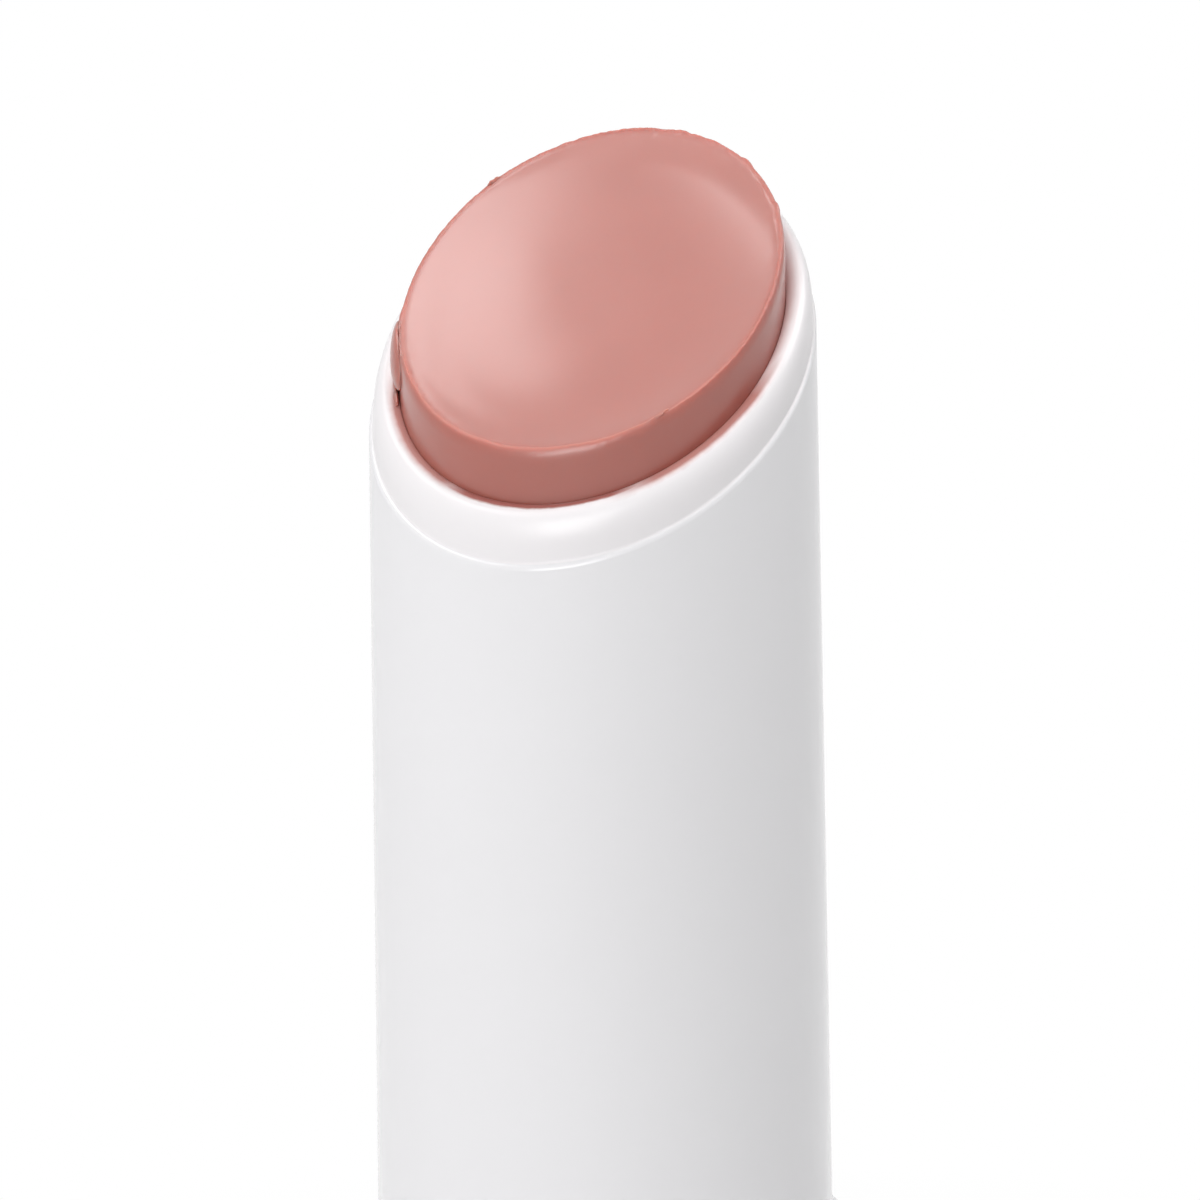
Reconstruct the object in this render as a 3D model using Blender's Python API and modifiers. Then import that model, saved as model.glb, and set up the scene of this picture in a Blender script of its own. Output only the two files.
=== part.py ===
"""Twist-up lip tint stick with a slanted mouth, standing on its base.

Metres, +Z up. The origin is the centre of the base's underside, on the stick's axis, and the
mouth slants down towards -Y. Turning the base turns a left-hand lead screw, and the nut under
the bullet's cup climbs it, because two lugs on the cup run in slots of the inner sleeve.
"""

import math

import bmesh
import bpy
from mathutils import Matrix

# Sizes that fit one group of pieces to another
SEAT_GAP = 0.00005
RUN_GAP = 0.00028
TWIST_GAP = 0.0004
STOP_GAP = 0.0005
CUT_OVERRUN = 0.001
JOIN_OVERLAP = 0.0003
EDGE_BREAK = 0.0002

# Travel of the carriage from its place in the photograph
RETRACT_TRAVEL = 0.003
EXTEND_TRAVEL = 0.0165

# Mouth
SLANT_DEGREES = 30.0
LIP_HEIGHT = 0.0014
LIP_INNER_ROUND = 0.00022
LIP_FLAT_HEIGHT = 0.00045
LIP_STEP = 0.0001

# Bullet of tint
BULLET_DIAMETER = 0.0127
BULLET_LENGTH = 0.0304
BULLET_RISE = 0.0018
BULLET_EDGE_ROUND = 0.00018
BULLET_BORE_CLEARANCE = 0.0004
DISH_DEPTH = 0.0008
DISH_SHARES = ((0.95, 0.10), (0.86, 0.52), (0.72, 0.82), (0.42, 0.96))

# Cup and its nut
CUP_WALL = 0.0007
CUP_FLOOR = 0.001
CUP_DEPTH = 0.006
CUP_RIB_COUNT = 4
CUP_RIB_WIDTH = 0.0008
CUP_RIB_DEPTH = 0.0005
CUP_RIB_HEIGHT = 0.0045
LUG_WIDTH = 0.0016
LUG_HEIGHT = 0.002
LUG_REACH = 0.0006
NUT_RADIUS = 0.0034
NUT_HEIGHT = 0.004
NUT_SOCKET_WALL = 0.0009

# Inner sleeve and outer shell
SLEEVE_WALL = 0.00042
SLEEVE_INSET = 0.0075
BEAD_HEIGHT = 0.0012
BEAD_WIDTH = 0.00245
SLOT_SIDE_GAP = 0.0002
SHELL_EDGE_WALL = 0.00033
SHELL_DRAFT_DEGREES = 0.5

# Lead screw
SCREW_LEAD = 0.004
SCREW_CORE_RADIUS = 0.0013
SCREW_THREAD_HEIGHT = 0.0006
THREAD_ROOT_HALF_WIDTH = 0.00055
THREAD_CREST_HALF_WIDTH = 0.00035
THREAD_CLEARANCE = 0.00015
SCREW_OVERRUN = 0.0007
SCREW_TIP_CHAMFER = 0.0004
FLANGE_THICKNESS = 0.002
TAIL_RADIUS = 0.0026
TAIL_LENGTH = 0.007
WASHER_THICKNESS = 0.0005

# Soft rings
DRAG_RING_THICKNESS = 0.001
GRIP_RING_THICKNESS = 0.0006
GRIP_RING_STAND = 0.0002

# Collar
COLLAR_INSET = 0.0018
COLLAR_RISE = 0.0016
COLLAR_LEDGE = 0.0012
COLLAR_WALL = 0.00062

# Base
BASE_HEIGHT = 0.030
BASE_WALL = 0.00083
BASE_FOOT_ROUND = 0.0005
CORE_WALL = 0.001
CORE_DECK = 0.0015
HUB_WALL = 0.0012
HUB_LENGTH = 0.009
CORE_RIB_COUNT = 6
CORE_RIB_WIDTH = 0.001
FOOT_LIP_HEIGHT = 0.0007
FOOT_LIP_WIDTH = 0.0015
DISC_THICKNESS = 0.0012
LABEL_MARGIN = 0.0005
LABEL_THICKNESS = 0.0001
WEIGHT_GAP = 0.0003
WEIGHT_HOLE_RADIUS = 0.0015

# Facets
SEGMENTS = 48
RING_SEGMENTS = 8
THREAD_SEGMENTS = 24
ROUND_STEPS = 4
MERGE_DISTANCE = 0.000002

SLOPE = math.tan(math.radians(SLANT_DEGREES))
DRAFT = math.tan(math.radians(SHELL_DRAFT_DEGREES))

# Radii, from the bullet outwards
BULLET_RADIUS = BULLET_DIAMETER / 2
CUP_BORE = BULLET_RADIUS - CUP_WALL
SLEEVE_BORE = BULLET_RADIUS + RUN_GAP
SLEEVE_RADIUS = SLEEVE_BORE + SLEEVE_WALL
SHELL_BORE = SLEEVE_RADIUS + SEAT_GAP
SHELL_RADIUS = SHELL_BORE + SHELL_EDGE_WALL
LIP_RADIUS = SHELL_RADIUS - LIP_STEP
BEAD_BORE = SLEEVE_BORE - BEAD_WIDTH
JOURNAL_RADIUS = BEAD_BORE - RUN_GAP
SCREW_CREST_RADIUS = SCREW_CORE_RADIUS + SCREW_THREAD_HEIGHT
SCREW_PASSAGE = SCREW_CREST_RADIUS + BULLET_BORE_CLEARANCE
FLANGE_RADIUS = SLEEVE_BORE - RUN_GAP

# Heights, from the base upwards
SLEEVE_FOOT = BASE_HEIGHT - SLEEVE_INSET
BEAD_TOP = SLEEVE_FOOT + BEAD_HEIGHT
WASHER_BOTTOM = BEAD_TOP + SEAT_GAP
FLANGE_BOTTOM = WASHER_BOTTOM + WASHER_THICKNESS + SEAT_GAP
FLANGE_TOP = FLANGE_BOTTOM + FLANGE_THICKNESS
CUP_BOTTOM = FLANGE_TOP + STOP_GAP + RETRACT_TRAVEL
NUT_TOP = CUP_BOTTOM + NUT_HEIGHT
FLOOR_BOTTOM = NUT_TOP + SEAT_GAP
FLOOR_TOP = FLOOR_BOTTOM + CUP_FLOOR
CUP_TOP = FLOOR_TOP + CUP_DEPTH
BULLET_FOOT = FLOOR_TOP + SEAT_GAP
FACE_HEIGHT = BULLET_FOOT + BULLET_LENGTH
LIP_TOP = FACE_HEIGHT - BULLET_RISE
SHELL_TOP = LIP_TOP - LIP_HEIGHT
SCREW_TOP = NUT_TOP + EXTEND_TRAVEL + SCREW_OVERRUN
COLLAR_BOTTOM = BASE_HEIGHT - COLLAR_INSET
COLLAR_TOP = BASE_HEIGHT + COLLAR_RISE
SHELL_FOOT = COLLAR_BOTTOM + COLLAR_LEDGE + SEAT_GAP
CORE_TOP = COLLAR_BOTTOM - TWIST_GAP
DECK_TOP = SLEEVE_FOOT - TWIST_GAP
DECK_BOTTOM = DECK_TOP - CORE_DECK
HUB_BOTTOM = DECK_TOP - HUB_LENGTH
DISC_BOTTOM = FOOT_LIP_HEIGHT + SEAT_GAP
DISC_TOP = DISC_BOTTOM + DISC_THICKNESS
CORE_BOTTOM = DISC_TOP + SEAT_GAP

# Radii below the mouth, which need the drafted shell's foot
SHELL_FOOT_RADIUS = SHELL_RADIUS + DRAFT * (SHELL_TOP - SHELL_FOOT)
COLLAR_COUNTERBORE = SHELL_FOOT_RADIUS + SEAT_GAP
COLLAR_RADIUS = COLLAR_COUNTERBORE + COLLAR_WALL
BASE_BORE = COLLAR_RADIUS + RUN_GAP
BASE_RADIUS = BASE_BORE + BASE_WALL
CORE_RADIUS = BASE_BORE - SEAT_GAP
CORE_BORE = CORE_RADIUS - CORE_WALL
HUB_RADIUS = TAIL_RADIUS + HUB_WALL
FOOT_BORE = BASE_BORE - FOOT_LIP_WIDTH


def clear_scene():
    for old in list(bpy.data.objects):
        bpy.data.objects.remove(old)


def collection(name):
    made = bpy.data.collections.new(name)
    bpy.context.scene.collection.children.link(made)
    return made


def material(name, colour, roughness, metallic=0.0):
    made = bpy.data.materials.new(name)
    made.use_nodes = True
    shader = made.node_tree.nodes["Principled BSDF"]
    shader.inputs["Base Color"].default_value = (*colour, 1.0)
    shader.inputs["Roughness"].default_value = roughness
    shader.inputs["Metallic"].default_value = metallic
    return made


def finished(obj, finish, group):
    """Names its finish, shades it smooth but for its edges, and hangs it on its group's empty."""
    obj.data.materials.clear()
    obj.data.materials.append(finish)
    obj.data.shade_smooth()
    obj.data.set_sharp_from_angle(angle=math.radians(35))
    obj.parent = group
    return obj


def helper(obj):
    """Moves a cutter or a joined shape out of the part's own collection, and out of renders."""
    for home in list(obj.users_collection):
        home.objects.unlink(obj)
    CUTTERS.objects.link(obj)
    obj.hide_render = True
    obj.display_type = "WIRE"
    return obj


def realised(obj):
    """The object again, with its modifiers made into mesh."""
    graph = bpy.context.evaluated_depsgraph_get()
    solid = bpy.data.objects.new(obj.name, bpy.data.meshes.new_from_object(obj.evaluated_get(graph)))
    name = obj.name
    bpy.data.objects.remove(obj)
    solid.name = name
    PART.objects.link(solid)
    return solid


def spun(name, profile, turns=1.0, rise=0.0, segments=SEGMENTS, closed=True):
    """A profile of (radius, height) points, turned about the stick's axis by a Screw modifier.

    The profile runs down its outer side. With a rise it climbs as it turns, left-handed.
    """
    mesh = bpy.data.meshes.new(name)
    count = len(profile)
    edges = [(i, (i + 1) % count) for i in range(count if closed else count - 1)]
    mesh.from_pydata([(radius, 0, height) for radius, height in profile], edges, [])
    obj = bpy.data.objects.new(name, mesh)
    PART.objects.link(obj)
    screw = obj.modifiers.new("turn", "SCREW")
    screw.angle = -math.tau * turns if rise else math.tau
    screw.screw_offset = rise * turns
    screw.steps = screw.render_steps = round(segments * turns)
    screw.use_merge_vertices = rise == 0
    screw.merge_threshold = MERGE_DISTANCE
    return realised(obj)


def arc(centre, radii, start, end, steps=ROUND_STEPS):
    """Points of an elliptical arc in (radius, height), angles in degrees from outwards to up."""
    angles = [math.radians(start + (end - start) * i / steps) for i in range(steps + 1)]
    return [(centre[0] + radii[0] * math.cos(a), centre[1] + radii[1] * math.sin(a)) for a in angles]


def slant(obj, above):
    """Shears all that stands above a height to the mouth's slope, lowest towards -Y."""
    for point in obj.data.vertices:
        if point.co.z > above:
            point.co.z += SLOPE * point.co.y
    return obj


def prism(name, radius, bottom, top, sides=6):
    """A prism on the stick's axis between two heights."""
    mesh = bpy.data.meshes.new(name)
    shape = bmesh.new()
    bmesh.ops.create_cone(
        shape, cap_ends=True, segments=sides, radius1=radius, radius2=radius, depth=top - bottom
    )
    bmesh.ops.translate(shape, verts=shape.verts, vec=(0, 0, (top + bottom) / 2))
    shape.to_mesh(mesh)
    shape.free()
    obj = bpy.data.objects.new(name, mesh)
    PART.objects.link(obj)
    return obj


def radial_box(name, inner, outer, width, bottom, top, turn):
    """A box that runs outwards between two radii, turned about the axis."""
    mesh = bpy.data.meshes.new(name)
    shape = bmesh.new()
    bmesh.ops.create_cube(shape, size=1.0)
    bmesh.ops.scale(shape, verts=shape.verts, vec=(outer - inner, width, top - bottom))
    bmesh.ops.translate(shape, verts=shape.verts, vec=((inner + outer) / 2, 0, (top + bottom) / 2))
    bmesh.ops.rotate(shape, verts=shape.verts, cent=(0, 0, 0), matrix=Matrix.Rotation(turn, 3, "Z"))
    shape.to_mesh(mesh)
    shape.free()
    obj = bpy.data.objects.new(name, mesh)
    PART.objects.link(obj)
    return obj


def boolean(obj, tool, operation):
    change = obj.modifiers.new(tool.name, "BOOLEAN")
    change.operation = operation
    change.object = helper(tool)
    return obj


def thread(name, crest, root_half, crest_half, bottom, top):
    """One start of left-hand trapezoid thread as a solid ridge, sunk into the screw's core."""
    foot = SCREW_CORE_RADIUS - JOIN_OVERLAP
    spread = (root_half - crest_half) / SCREW_THREAD_HEIGHT
    foot_half = crest_half + spread * (crest - foot)
    first = CUP_BOTTOM - math.ceil((CUP_BOTTOM - bottom) / SCREW_LEAD) * SCREW_LEAD
    profile = [
        (foot, first + foot_half),
        (crest, first + crest_half),
        (crest, first - crest_half),
        (foot, first - foot_half),
    ]
    turns = math.ceil((top - first) / SCREW_LEAD)
    ridge = spun(name, profile, turns=turns, rise=SCREW_LEAD, segments=THREAD_SEGMENTS)
    shape = bmesh.new()
    shape.from_mesh(ridge.data)
    ends = [edge for edge in shape.edges if edge.is_boundary]
    bmesh.ops.holes_fill(shape, edges=ends, sides=len(profile))
    for height, side in ((bottom, -1), (top, 1)):
        kept = shape.verts[:] + shape.edges[:] + shape.faces[:]
        cut = bmesh.ops.bisect_plane(
            shape,
            geom=kept,
            plane_co=(0, 0, height),
            plane_no=(0, 0, side),
            clear_outer=True,
        )["geom_cut"]
        rim = [item for item in cut if isinstance(item, bmesh.types.BMEdge)]
        bmesh.ops.holes_fill(shape, edges=rim, sides=0)
    bmesh.ops.recalc_face_normals(shape, faces=shape.faces)
    if shape.calc_volume(signed=True) < 0:
        bmesh.ops.reverse_faces(shape, faces=shape.faces)
    shape.to_mesh(ridge.data)
    shape.free()
    return ridge


def soft_ring(name, inner, bottom, thickness):
    """A round-section ring, lying on a seat of the given inner radius."""
    half = thickness / 2
    section = arc((inner + half, bottom + half), (half, half), 90, -270, RING_SEGMENTS)[:-1]
    return spun(name, section)


def make_inner_sleeve():
    """The white liner: guide slots, a bead that carries the screw, and the rounded mouth."""
    flange_foot = SHELL_TOP + SEAT_GAP
    apex = SLEEVE_BORE + LIP_INNER_ROUND
    lip_side = SHELL_TOP + LIP_FLAT_HEIGHT
    profile = [(SLEEVE_BORE, BEAD_TOP)]
    profile += arc((apex, LIP_TOP - LIP_INNER_ROUND), (LIP_INNER_ROUND, LIP_INNER_ROUND), 180, 90)
    profile += arc((apex, lip_side), (LIP_RADIUS - apex, LIP_TOP - lip_side), 90, 0)[1:]
    profile += [
        (LIP_RADIUS, flange_foot),
        (SLEEVE_RADIUS, flange_foot),
        (SLEEVE_RADIUS, SLEEVE_FOOT + EDGE_BREAK),
        (SLEEVE_RADIUS - EDGE_BREAK, SLEEVE_FOOT),
        (BEAD_BORE, SLEEVE_FOOT),
        (BEAD_BORE, BEAD_TOP),
    ]
    sleeve = slant(spun("inner_sleeve", profile), (CUP_TOP + SHELL_TOP) / 2)
    for side, turn in (("right", 0.0), ("left", math.pi)):
        slot = radial_box(
            f"slot_{side}",
            SLEEVE_BORE - CUT_OVERRUN,
            SLEEVE_RADIUS + CUT_OVERRUN,
            LUG_WIDTH + 2 * SLOT_SIDE_GAP,
            CUP_BOTTOM - RETRACT_TRAVEL - SLOT_SIDE_GAP,
            CUP_BOTTOM + LUG_HEIGHT + EXTEND_TRAVEL + SLOT_SIDE_GAP,
            turn,
        )
        boolean(sleeve, slot, "DIFFERENCE")
    return sleeve


def make_outer_shell():
    """The glossy outer tube, drafted, with a bevelled slanted edge under the lip."""
    profile = [
        (SHELL_BORE, SHELL_TOP),
        (SHELL_RADIUS - LIP_STEP, SHELL_TOP),
        (SHELL_RADIUS, SHELL_TOP - LIP_STEP),
        (SHELL_FOOT_RADIUS, SHELL_FOOT),
        (SHELL_BORE, SHELL_FOOT),
    ]
    return slant(spun("outer_shell", profile), (SHELL_FOOT + SHELL_TOP) / 2)


def make_collar():
    """The band at the foot of the shell, with the cap ring's groove."""
    groove_half = GRIP_RING_THICKNESS / 2 + SEAT_GAP
    groove_middle = BASE_HEIGHT + COLLAR_RISE / 2
    groove_radius = COLLAR_RADIUS + GRIP_RING_STAND - GRIP_RING_THICKNESS - SEAT_GAP
    profile = [
        (COLLAR_COUNTERBORE, COLLAR_TOP),
        (COLLAR_RADIUS - EDGE_BREAK, COLLAR_TOP),
        (COLLAR_RADIUS, COLLAR_TOP - EDGE_BREAK),
        (COLLAR_RADIUS, groove_middle + groove_half),
        (groove_radius, groove_middle + groove_half),
        (groove_radius, groove_middle - groove_half),
        (COLLAR_RADIUS, groove_middle - groove_half),
        (COLLAR_RADIUS, COLLAR_BOTTOM),
        (SLEEVE_RADIUS + SEAT_GAP, COLLAR_BOTTOM),
        (SLEEVE_RADIUS + SEAT_GAP, COLLAR_BOTTOM + COLLAR_LEDGE),
        (COLLAR_COUNTERBORE, COLLAR_BOTTOM + COLLAR_LEDGE),
    ]
    return spun("collar", profile)


def make_grip_ring():
    """The silicone ring that a cap would hold on to."""
    inner = COLLAR_RADIUS + GRIP_RING_STAND - GRIP_RING_THICKNESS
    bottom = BASE_HEIGHT + COLLAR_RISE / 2 - GRIP_RING_THICKNESS / 2
    return soft_ring("cap_grip_ring", inner, bottom, GRIP_RING_THICKNESS)


def dish_profile():
    """The scooped face from its centre out to its rim, in (radius, height)."""
    rim = BULLET_RADIUS - BULLET_EDGE_ROUND
    points = [(0, FACE_HEIGHT - DISH_DEPTH)]
    points += [(rim * out, FACE_HEIGHT - DISH_DEPTH * down) for out, down in reversed(DISH_SHARES)]
    return points


def make_bullet():
    """The tint, poured into the cup: a stepped foot, a blind bore for the screw, a dished face."""
    foot_radius = CUP_BORE - SEAT_GAP
    shoulder = CUP_TOP + SEAT_GAP
    bore_top = SCREW_TOP + RETRACT_TRAVEL + STOP_GAP
    dish_floor = FACE_HEIGHT - DISH_DEPTH
    edge = (BULLET_RADIUS - BULLET_EDGE_ROUND, FACE_HEIGHT - BULLET_EDGE_ROUND)
    profile = dish_profile()
    profile += arc(edge, (BULLET_EDGE_ROUND, BULLET_EDGE_ROUND), 90, 0, 2)
    profile += [
        (BULLET_RADIUS, shoulder),
        (foot_radius, shoulder),
        (foot_radius, BULLET_FOOT),
        (SCREW_PASSAGE, BULLET_FOOT),
        (SCREW_PASSAGE, bore_top),
        (0, bore_top),
    ]
    bullet = slant(spun("bullet", profile, closed=False), (bore_top + dish_floor) / 2)
    for index in range(CUP_RIB_COUNT):
        turn = math.tau * (index + 0.5) / CUP_RIB_COUNT
        groove = radial_box(
            f"rib_groove_{index + 1}",
            CUP_BORE - CUP_RIB_DEPTH - SEAT_GAP,
            CUP_BORE + CUT_OVERRUN,
            CUP_RIB_WIDTH + 2 * SEAT_GAP,
            FLOOR_TOP - CUT_OVERRUN,
            FLOOR_TOP + CUP_RIB_HEIGHT + SEAT_GAP,
            turn,
        )
        boolean(bullet, groove, "DIFFERENCE")
    return bullet


def make_bullet_cup():
    """The lift cup: grip ribs inside, a skirt with two lugs, and a hexagon socket for the nut."""
    socket_radius = NUT_RADIUS + NUT_SOCKET_WALL
    profile = [
        (CUP_BORE, CUP_TOP),
        (BULLET_RADIUS, CUP_TOP),
        (BULLET_RADIUS, CUP_BOTTOM),
        (CUP_BORE, CUP_BOTTOM),
        (CUP_BORE, FLOOR_BOTTOM),
        (socket_radius, FLOOR_BOTTOM),
        (socket_radius, CUP_BOTTOM),
        (SCREW_PASSAGE, CUP_BOTTOM),
        (SCREW_PASSAGE, FLOOR_TOP),
        (CUP_BORE, FLOOR_TOP),
    ]
    cup = spun("bullet_cup", profile)
    for index in range(CUP_RIB_COUNT):
        turn = math.tau * (index + 0.5) / CUP_RIB_COUNT
        rib = radial_box(
            f"cup_rib_{index + 1}",
            CUP_BORE - CUP_RIB_DEPTH,
            CUP_BORE + JOIN_OVERLAP,
            CUP_RIB_WIDTH,
            FLOOR_TOP - JOIN_OVERLAP,
            FLOOR_TOP + CUP_RIB_HEIGHT,
            turn,
        )
        boolean(cup, rib, "UNION")
    for side, turn in (("right", 0.0), ("left", math.pi)):
        lug = radial_box(
            f"lug_{side}",
            BULLET_RADIUS - JOIN_OVERLAP,
            BULLET_RADIUS + LUG_REACH,
            LUG_WIDTH,
            CUP_BOTTOM,
            CUP_BOTTOM + LUG_HEIGHT,
            turn,
        )
        boolean(cup, lug, "UNION")
    socket = prism("nut_socket", NUT_RADIUS + SEAT_GAP, CUP_BOTTOM - CUT_OVERRUN, FLOOR_BOTTOM)
    return boolean(cup, socket, "DIFFERENCE")


def make_lead_nut():
    """The hexagon nut in the cup's foot, threaded to the screw with clearance all round."""
    nut = prism("lead_nut", NUT_RADIUS, CUP_BOTTOM, NUT_TOP)
    bore = prism(
        "nut_bore",
        SCREW_CORE_RADIUS + THREAD_CLEARANCE,
        CUP_BOTTOM - CUT_OVERRUN,
        NUT_TOP + CUT_OVERRUN,
        THREAD_SEGMENTS,
    )
    groove = thread(
        "nut_thread",
        SCREW_CREST_RADIUS + THREAD_CLEARANCE,
        THREAD_ROOT_HALF_WIDTH + THREAD_CLEARANCE,
        THREAD_CREST_HALF_WIDTH + THREAD_CLEARANCE,
        CUP_BOTTOM - CUT_OVERRUN,
        NUT_TOP + CUT_OVERRUN,
    )
    boolean(nut, bore, "DIFFERENCE")
    return boolean(nut, groove, "DIFFERENCE")


def make_lead_screw():
    """The screw: thread, a flange grooved for the drag ring, a journal and a hexagon tail."""
    groove_half = DRAG_RING_THICKNESS / 2 + SEAT_GAP
    groove_middle = (FLANGE_BOTTOM + FLANGE_TOP) / 2
    groove_radius = SLEEVE_BORE - 2 * SEAT_GAP - DRAG_RING_THICKNESS
    profile = [
        (0, SCREW_TOP),
        (SCREW_CORE_RADIUS - SCREW_TIP_CHAMFER, SCREW_TOP),
        (SCREW_CORE_RADIUS, SCREW_TOP - SCREW_TIP_CHAMFER),
        (SCREW_CORE_RADIUS, FLANGE_TOP),
        (FLANGE_RADIUS, FLANGE_TOP),
        (FLANGE_RADIUS, groove_middle + groove_half),
        (groove_radius, groove_middle + groove_half),
        (groove_radius, groove_middle - groove_half),
        (FLANGE_RADIUS, groove_middle - groove_half),
        (FLANGE_RADIUS, FLANGE_BOTTOM),
        (JOURNAL_RADIUS, FLANGE_BOTTOM),
        (JOURNAL_RADIUS, DECK_TOP + SEAT_GAP),
        (0, DECK_TOP + SEAT_GAP),
    ]
    screw = spun("lead_screw", profile, segments=THREAD_SEGMENTS, closed=False)
    ridge = thread(
        "screw_thread",
        SCREW_CREST_RADIUS,
        THREAD_ROOT_HALF_WIDTH,
        THREAD_CREST_HALF_WIDTH,
        FLANGE_TOP + STOP_GAP,
        SCREW_TOP - SCREW_TIP_CHAMFER - SEAT_GAP,
    )
    tail_end = DECK_TOP + SEAT_GAP - TAIL_LENGTH
    tail = prism("screw_tail", TAIL_RADIUS, tail_end, DECK_TOP + SEAT_GAP + JOIN_OVERLAP)
    boolean(screw, ridge, "UNION")
    return boolean(screw, tail, "UNION")


def make_drag_ring():
    """The greased silicone ring that gives the twist its even drag."""
    inner = SLEEVE_BORE - SEAT_GAP - DRAG_RING_THICKNESS
    bottom = (FLANGE_BOTTOM + FLANGE_TOP - DRAG_RING_THICKNESS) / 2
    return soft_ring("drag_ring", inner, bottom, DRAG_RING_THICKNESS)


def make_thrust_washer():
    """The slip washer between the screw's flange and the sleeve's bead."""
    top = WASHER_BOTTOM + WASHER_THICKNESS
    profile = [
        (BEAD_BORE, top),
        (FLANGE_RADIUS, top),
        (FLANGE_RADIUS, WASHER_BOTTOM),
        (BEAD_BORE, WASHER_BOTTOM),
    ]
    return spun("thrust_washer", profile)


def make_base_core():
    """The inner base: a guide bore round the sleeve, a deck, a hub and ribs under it."""
    guide_bore = SLEEVE_RADIUS + RUN_GAP
    socket_end = DECK_TOP - TAIL_LENGTH - WEIGHT_GAP
    profile = [
        (guide_bore, CORE_TOP),
        (CORE_RADIUS, CORE_TOP),
        (CORE_RADIUS, CORE_BOTTOM),
        (CORE_BORE, CORE_BOTTOM),
        (CORE_BORE, DECK_BOTTOM),
        (HUB_RADIUS, DECK_BOTTOM),
        (HUB_RADIUS, HUB_BOTTOM),
        (0, HUB_BOTTOM),
        (0, DECK_TOP),
        (guide_bore, DECK_TOP),
    ]
    core = spun("base_core", profile[8:] + profile[:8], closed=False)
    for index in range(CORE_RIB_COUNT):
        rib = radial_box(
            f"core_rib_{index + 1}",
            HUB_RADIUS - JOIN_OVERLAP,
            CORE_BORE + JOIN_OVERLAP,
            CORE_RIB_WIDTH,
            HUB_BOTTOM + EDGE_BREAK,
            DECK_BOTTOM + JOIN_OVERLAP,
            math.tau * index / CORE_RIB_COUNT,
        )
        boolean(core, rib, "UNION")
    socket = prism("tail_socket", TAIL_RADIUS + SEAT_GAP, socket_end, DECK_TOP + CUT_OVERRUN)
    return boolean(core, socket, "DIFFERENCE")


def make_base_shell():
    """The glossy grip of the base: a flat rim for a cap's edge, a rounded foot, a lip under it."""
    foot = (BASE_RADIUS - BASE_FOOT_ROUND, BASE_FOOT_ROUND)
    profile = [
        (BASE_BORE, BASE_HEIGHT),
        (BASE_RADIUS - EDGE_BREAK, BASE_HEIGHT),
        (BASE_RADIUS, BASE_HEIGHT - EDGE_BREAK),
    ]
    profile += arc(foot, (BASE_FOOT_ROUND, BASE_FOOT_ROUND), 0, -90)
    profile += [(FOOT_BORE, 0), (FOOT_BORE, FOOT_LIP_HEIGHT), (BASE_BORE, FOOT_LIP_HEIGHT)]
    return spun("base_shell", profile)


def make_base_weight():
    """The steel slug that gives the base its heft."""
    radius = CORE_BORE - SEAT_GAP
    top = HUB_BOTTOM - WEIGHT_GAP
    bottom = CORE_BOTTOM
    profile = [
        (WEIGHT_HOLE_RADIUS, top),
        (radius - EDGE_BREAK, top),
        (radius, top - EDGE_BREAK),
        (radius, bottom + EDGE_BREAK),
        (radius - EDGE_BREAK, bottom),
        (WEIGHT_HOLE_RADIUS, bottom),
    ]
    return spun("base_weight", profile)


def make_bottom_disc():
    """The disc that lies on the base's foot lip and closes the bottom."""
    profile = [(0, DISC_TOP), (CORE_RADIUS, DISC_TOP), (CORE_RADIUS, DISC_BOTTOM), (0, DISC_BOTTOM)]
    return spun("bottom_disc", profile, closed=False)


def make_shade_label():
    """The blank label under the disc, inside the foot lip."""
    radius = FOOT_BORE - LABEL_MARGIN
    top = DISC_BOTTOM - SEAT_GAP
    bottom = top - LABEL_THICKNESS
    return spun("shade_label", [(0, top), (radius, top), (radius, bottom), (0, bottom)], closed=False)


def group(name):
    """An empty on the stick's axis, which carries the pieces that move together."""
    empty = bpy.data.objects.new(name, None)
    PART.objects.link(empty)
    return empty


def main():
    barrel = group("barrel")
    carriage = group("carriage")
    drive = group("drive")
    gloss_white = material("gloss_white", (0.86, 0.86, 0.87), 0.22)
    liner_white = material("liner_white", (0.88, 0.87, 0.88), 0.32)
    tint = material("tint", (0.66, 0.29, 0.24), 0.45)
    natural = material("natural_plastic", (0.80, 0.79, 0.74), 0.45)
    silicone = material("silicone", (0.72, 0.72, 0.74), 0.5)
    steel = material("steel", (0.55, 0.55, 0.57), 0.35, 1.0)
    paper = material("label_paper", (0.82, 0.82, 0.80), 0.7)
    pieces = (
        (make_inner_sleeve, liner_white, barrel),
        (make_outer_shell, gloss_white, barrel),
        (make_collar, gloss_white, barrel),
        (make_grip_ring, silicone, barrel),
        (make_bullet, tint, carriage),
        (make_bullet_cup, natural, carriage),
        (make_lead_nut, natural, carriage),
        (make_lead_screw, natural, drive),
        (make_drag_ring, silicone, drive),
        (make_thrust_washer, natural, drive),
        (make_base_core, natural, drive),
        (make_base_shell, gloss_white, drive),
        (make_base_weight, steel, drive),
        (make_bottom_disc, gloss_white, drive),
        (make_shade_label, paper, drive),
    )
    for make, finish, owner in pieces:
        finished(make(), finish, owner)


clear_scene()
PART = collection("lip_tint_stick")
CUTTERS = collection("cutters")
main()
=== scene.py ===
"""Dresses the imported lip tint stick: shell, rounded mouth, dished tint, collar, base and stage."""

import math

import bpy
from bpy.props import FloatProperty, FloatVectorProperty, IntProperty, PointerProperty
from bpy.types import Operator, Panel, PropertyGroup
from mathutils import Matrix, Vector


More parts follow.
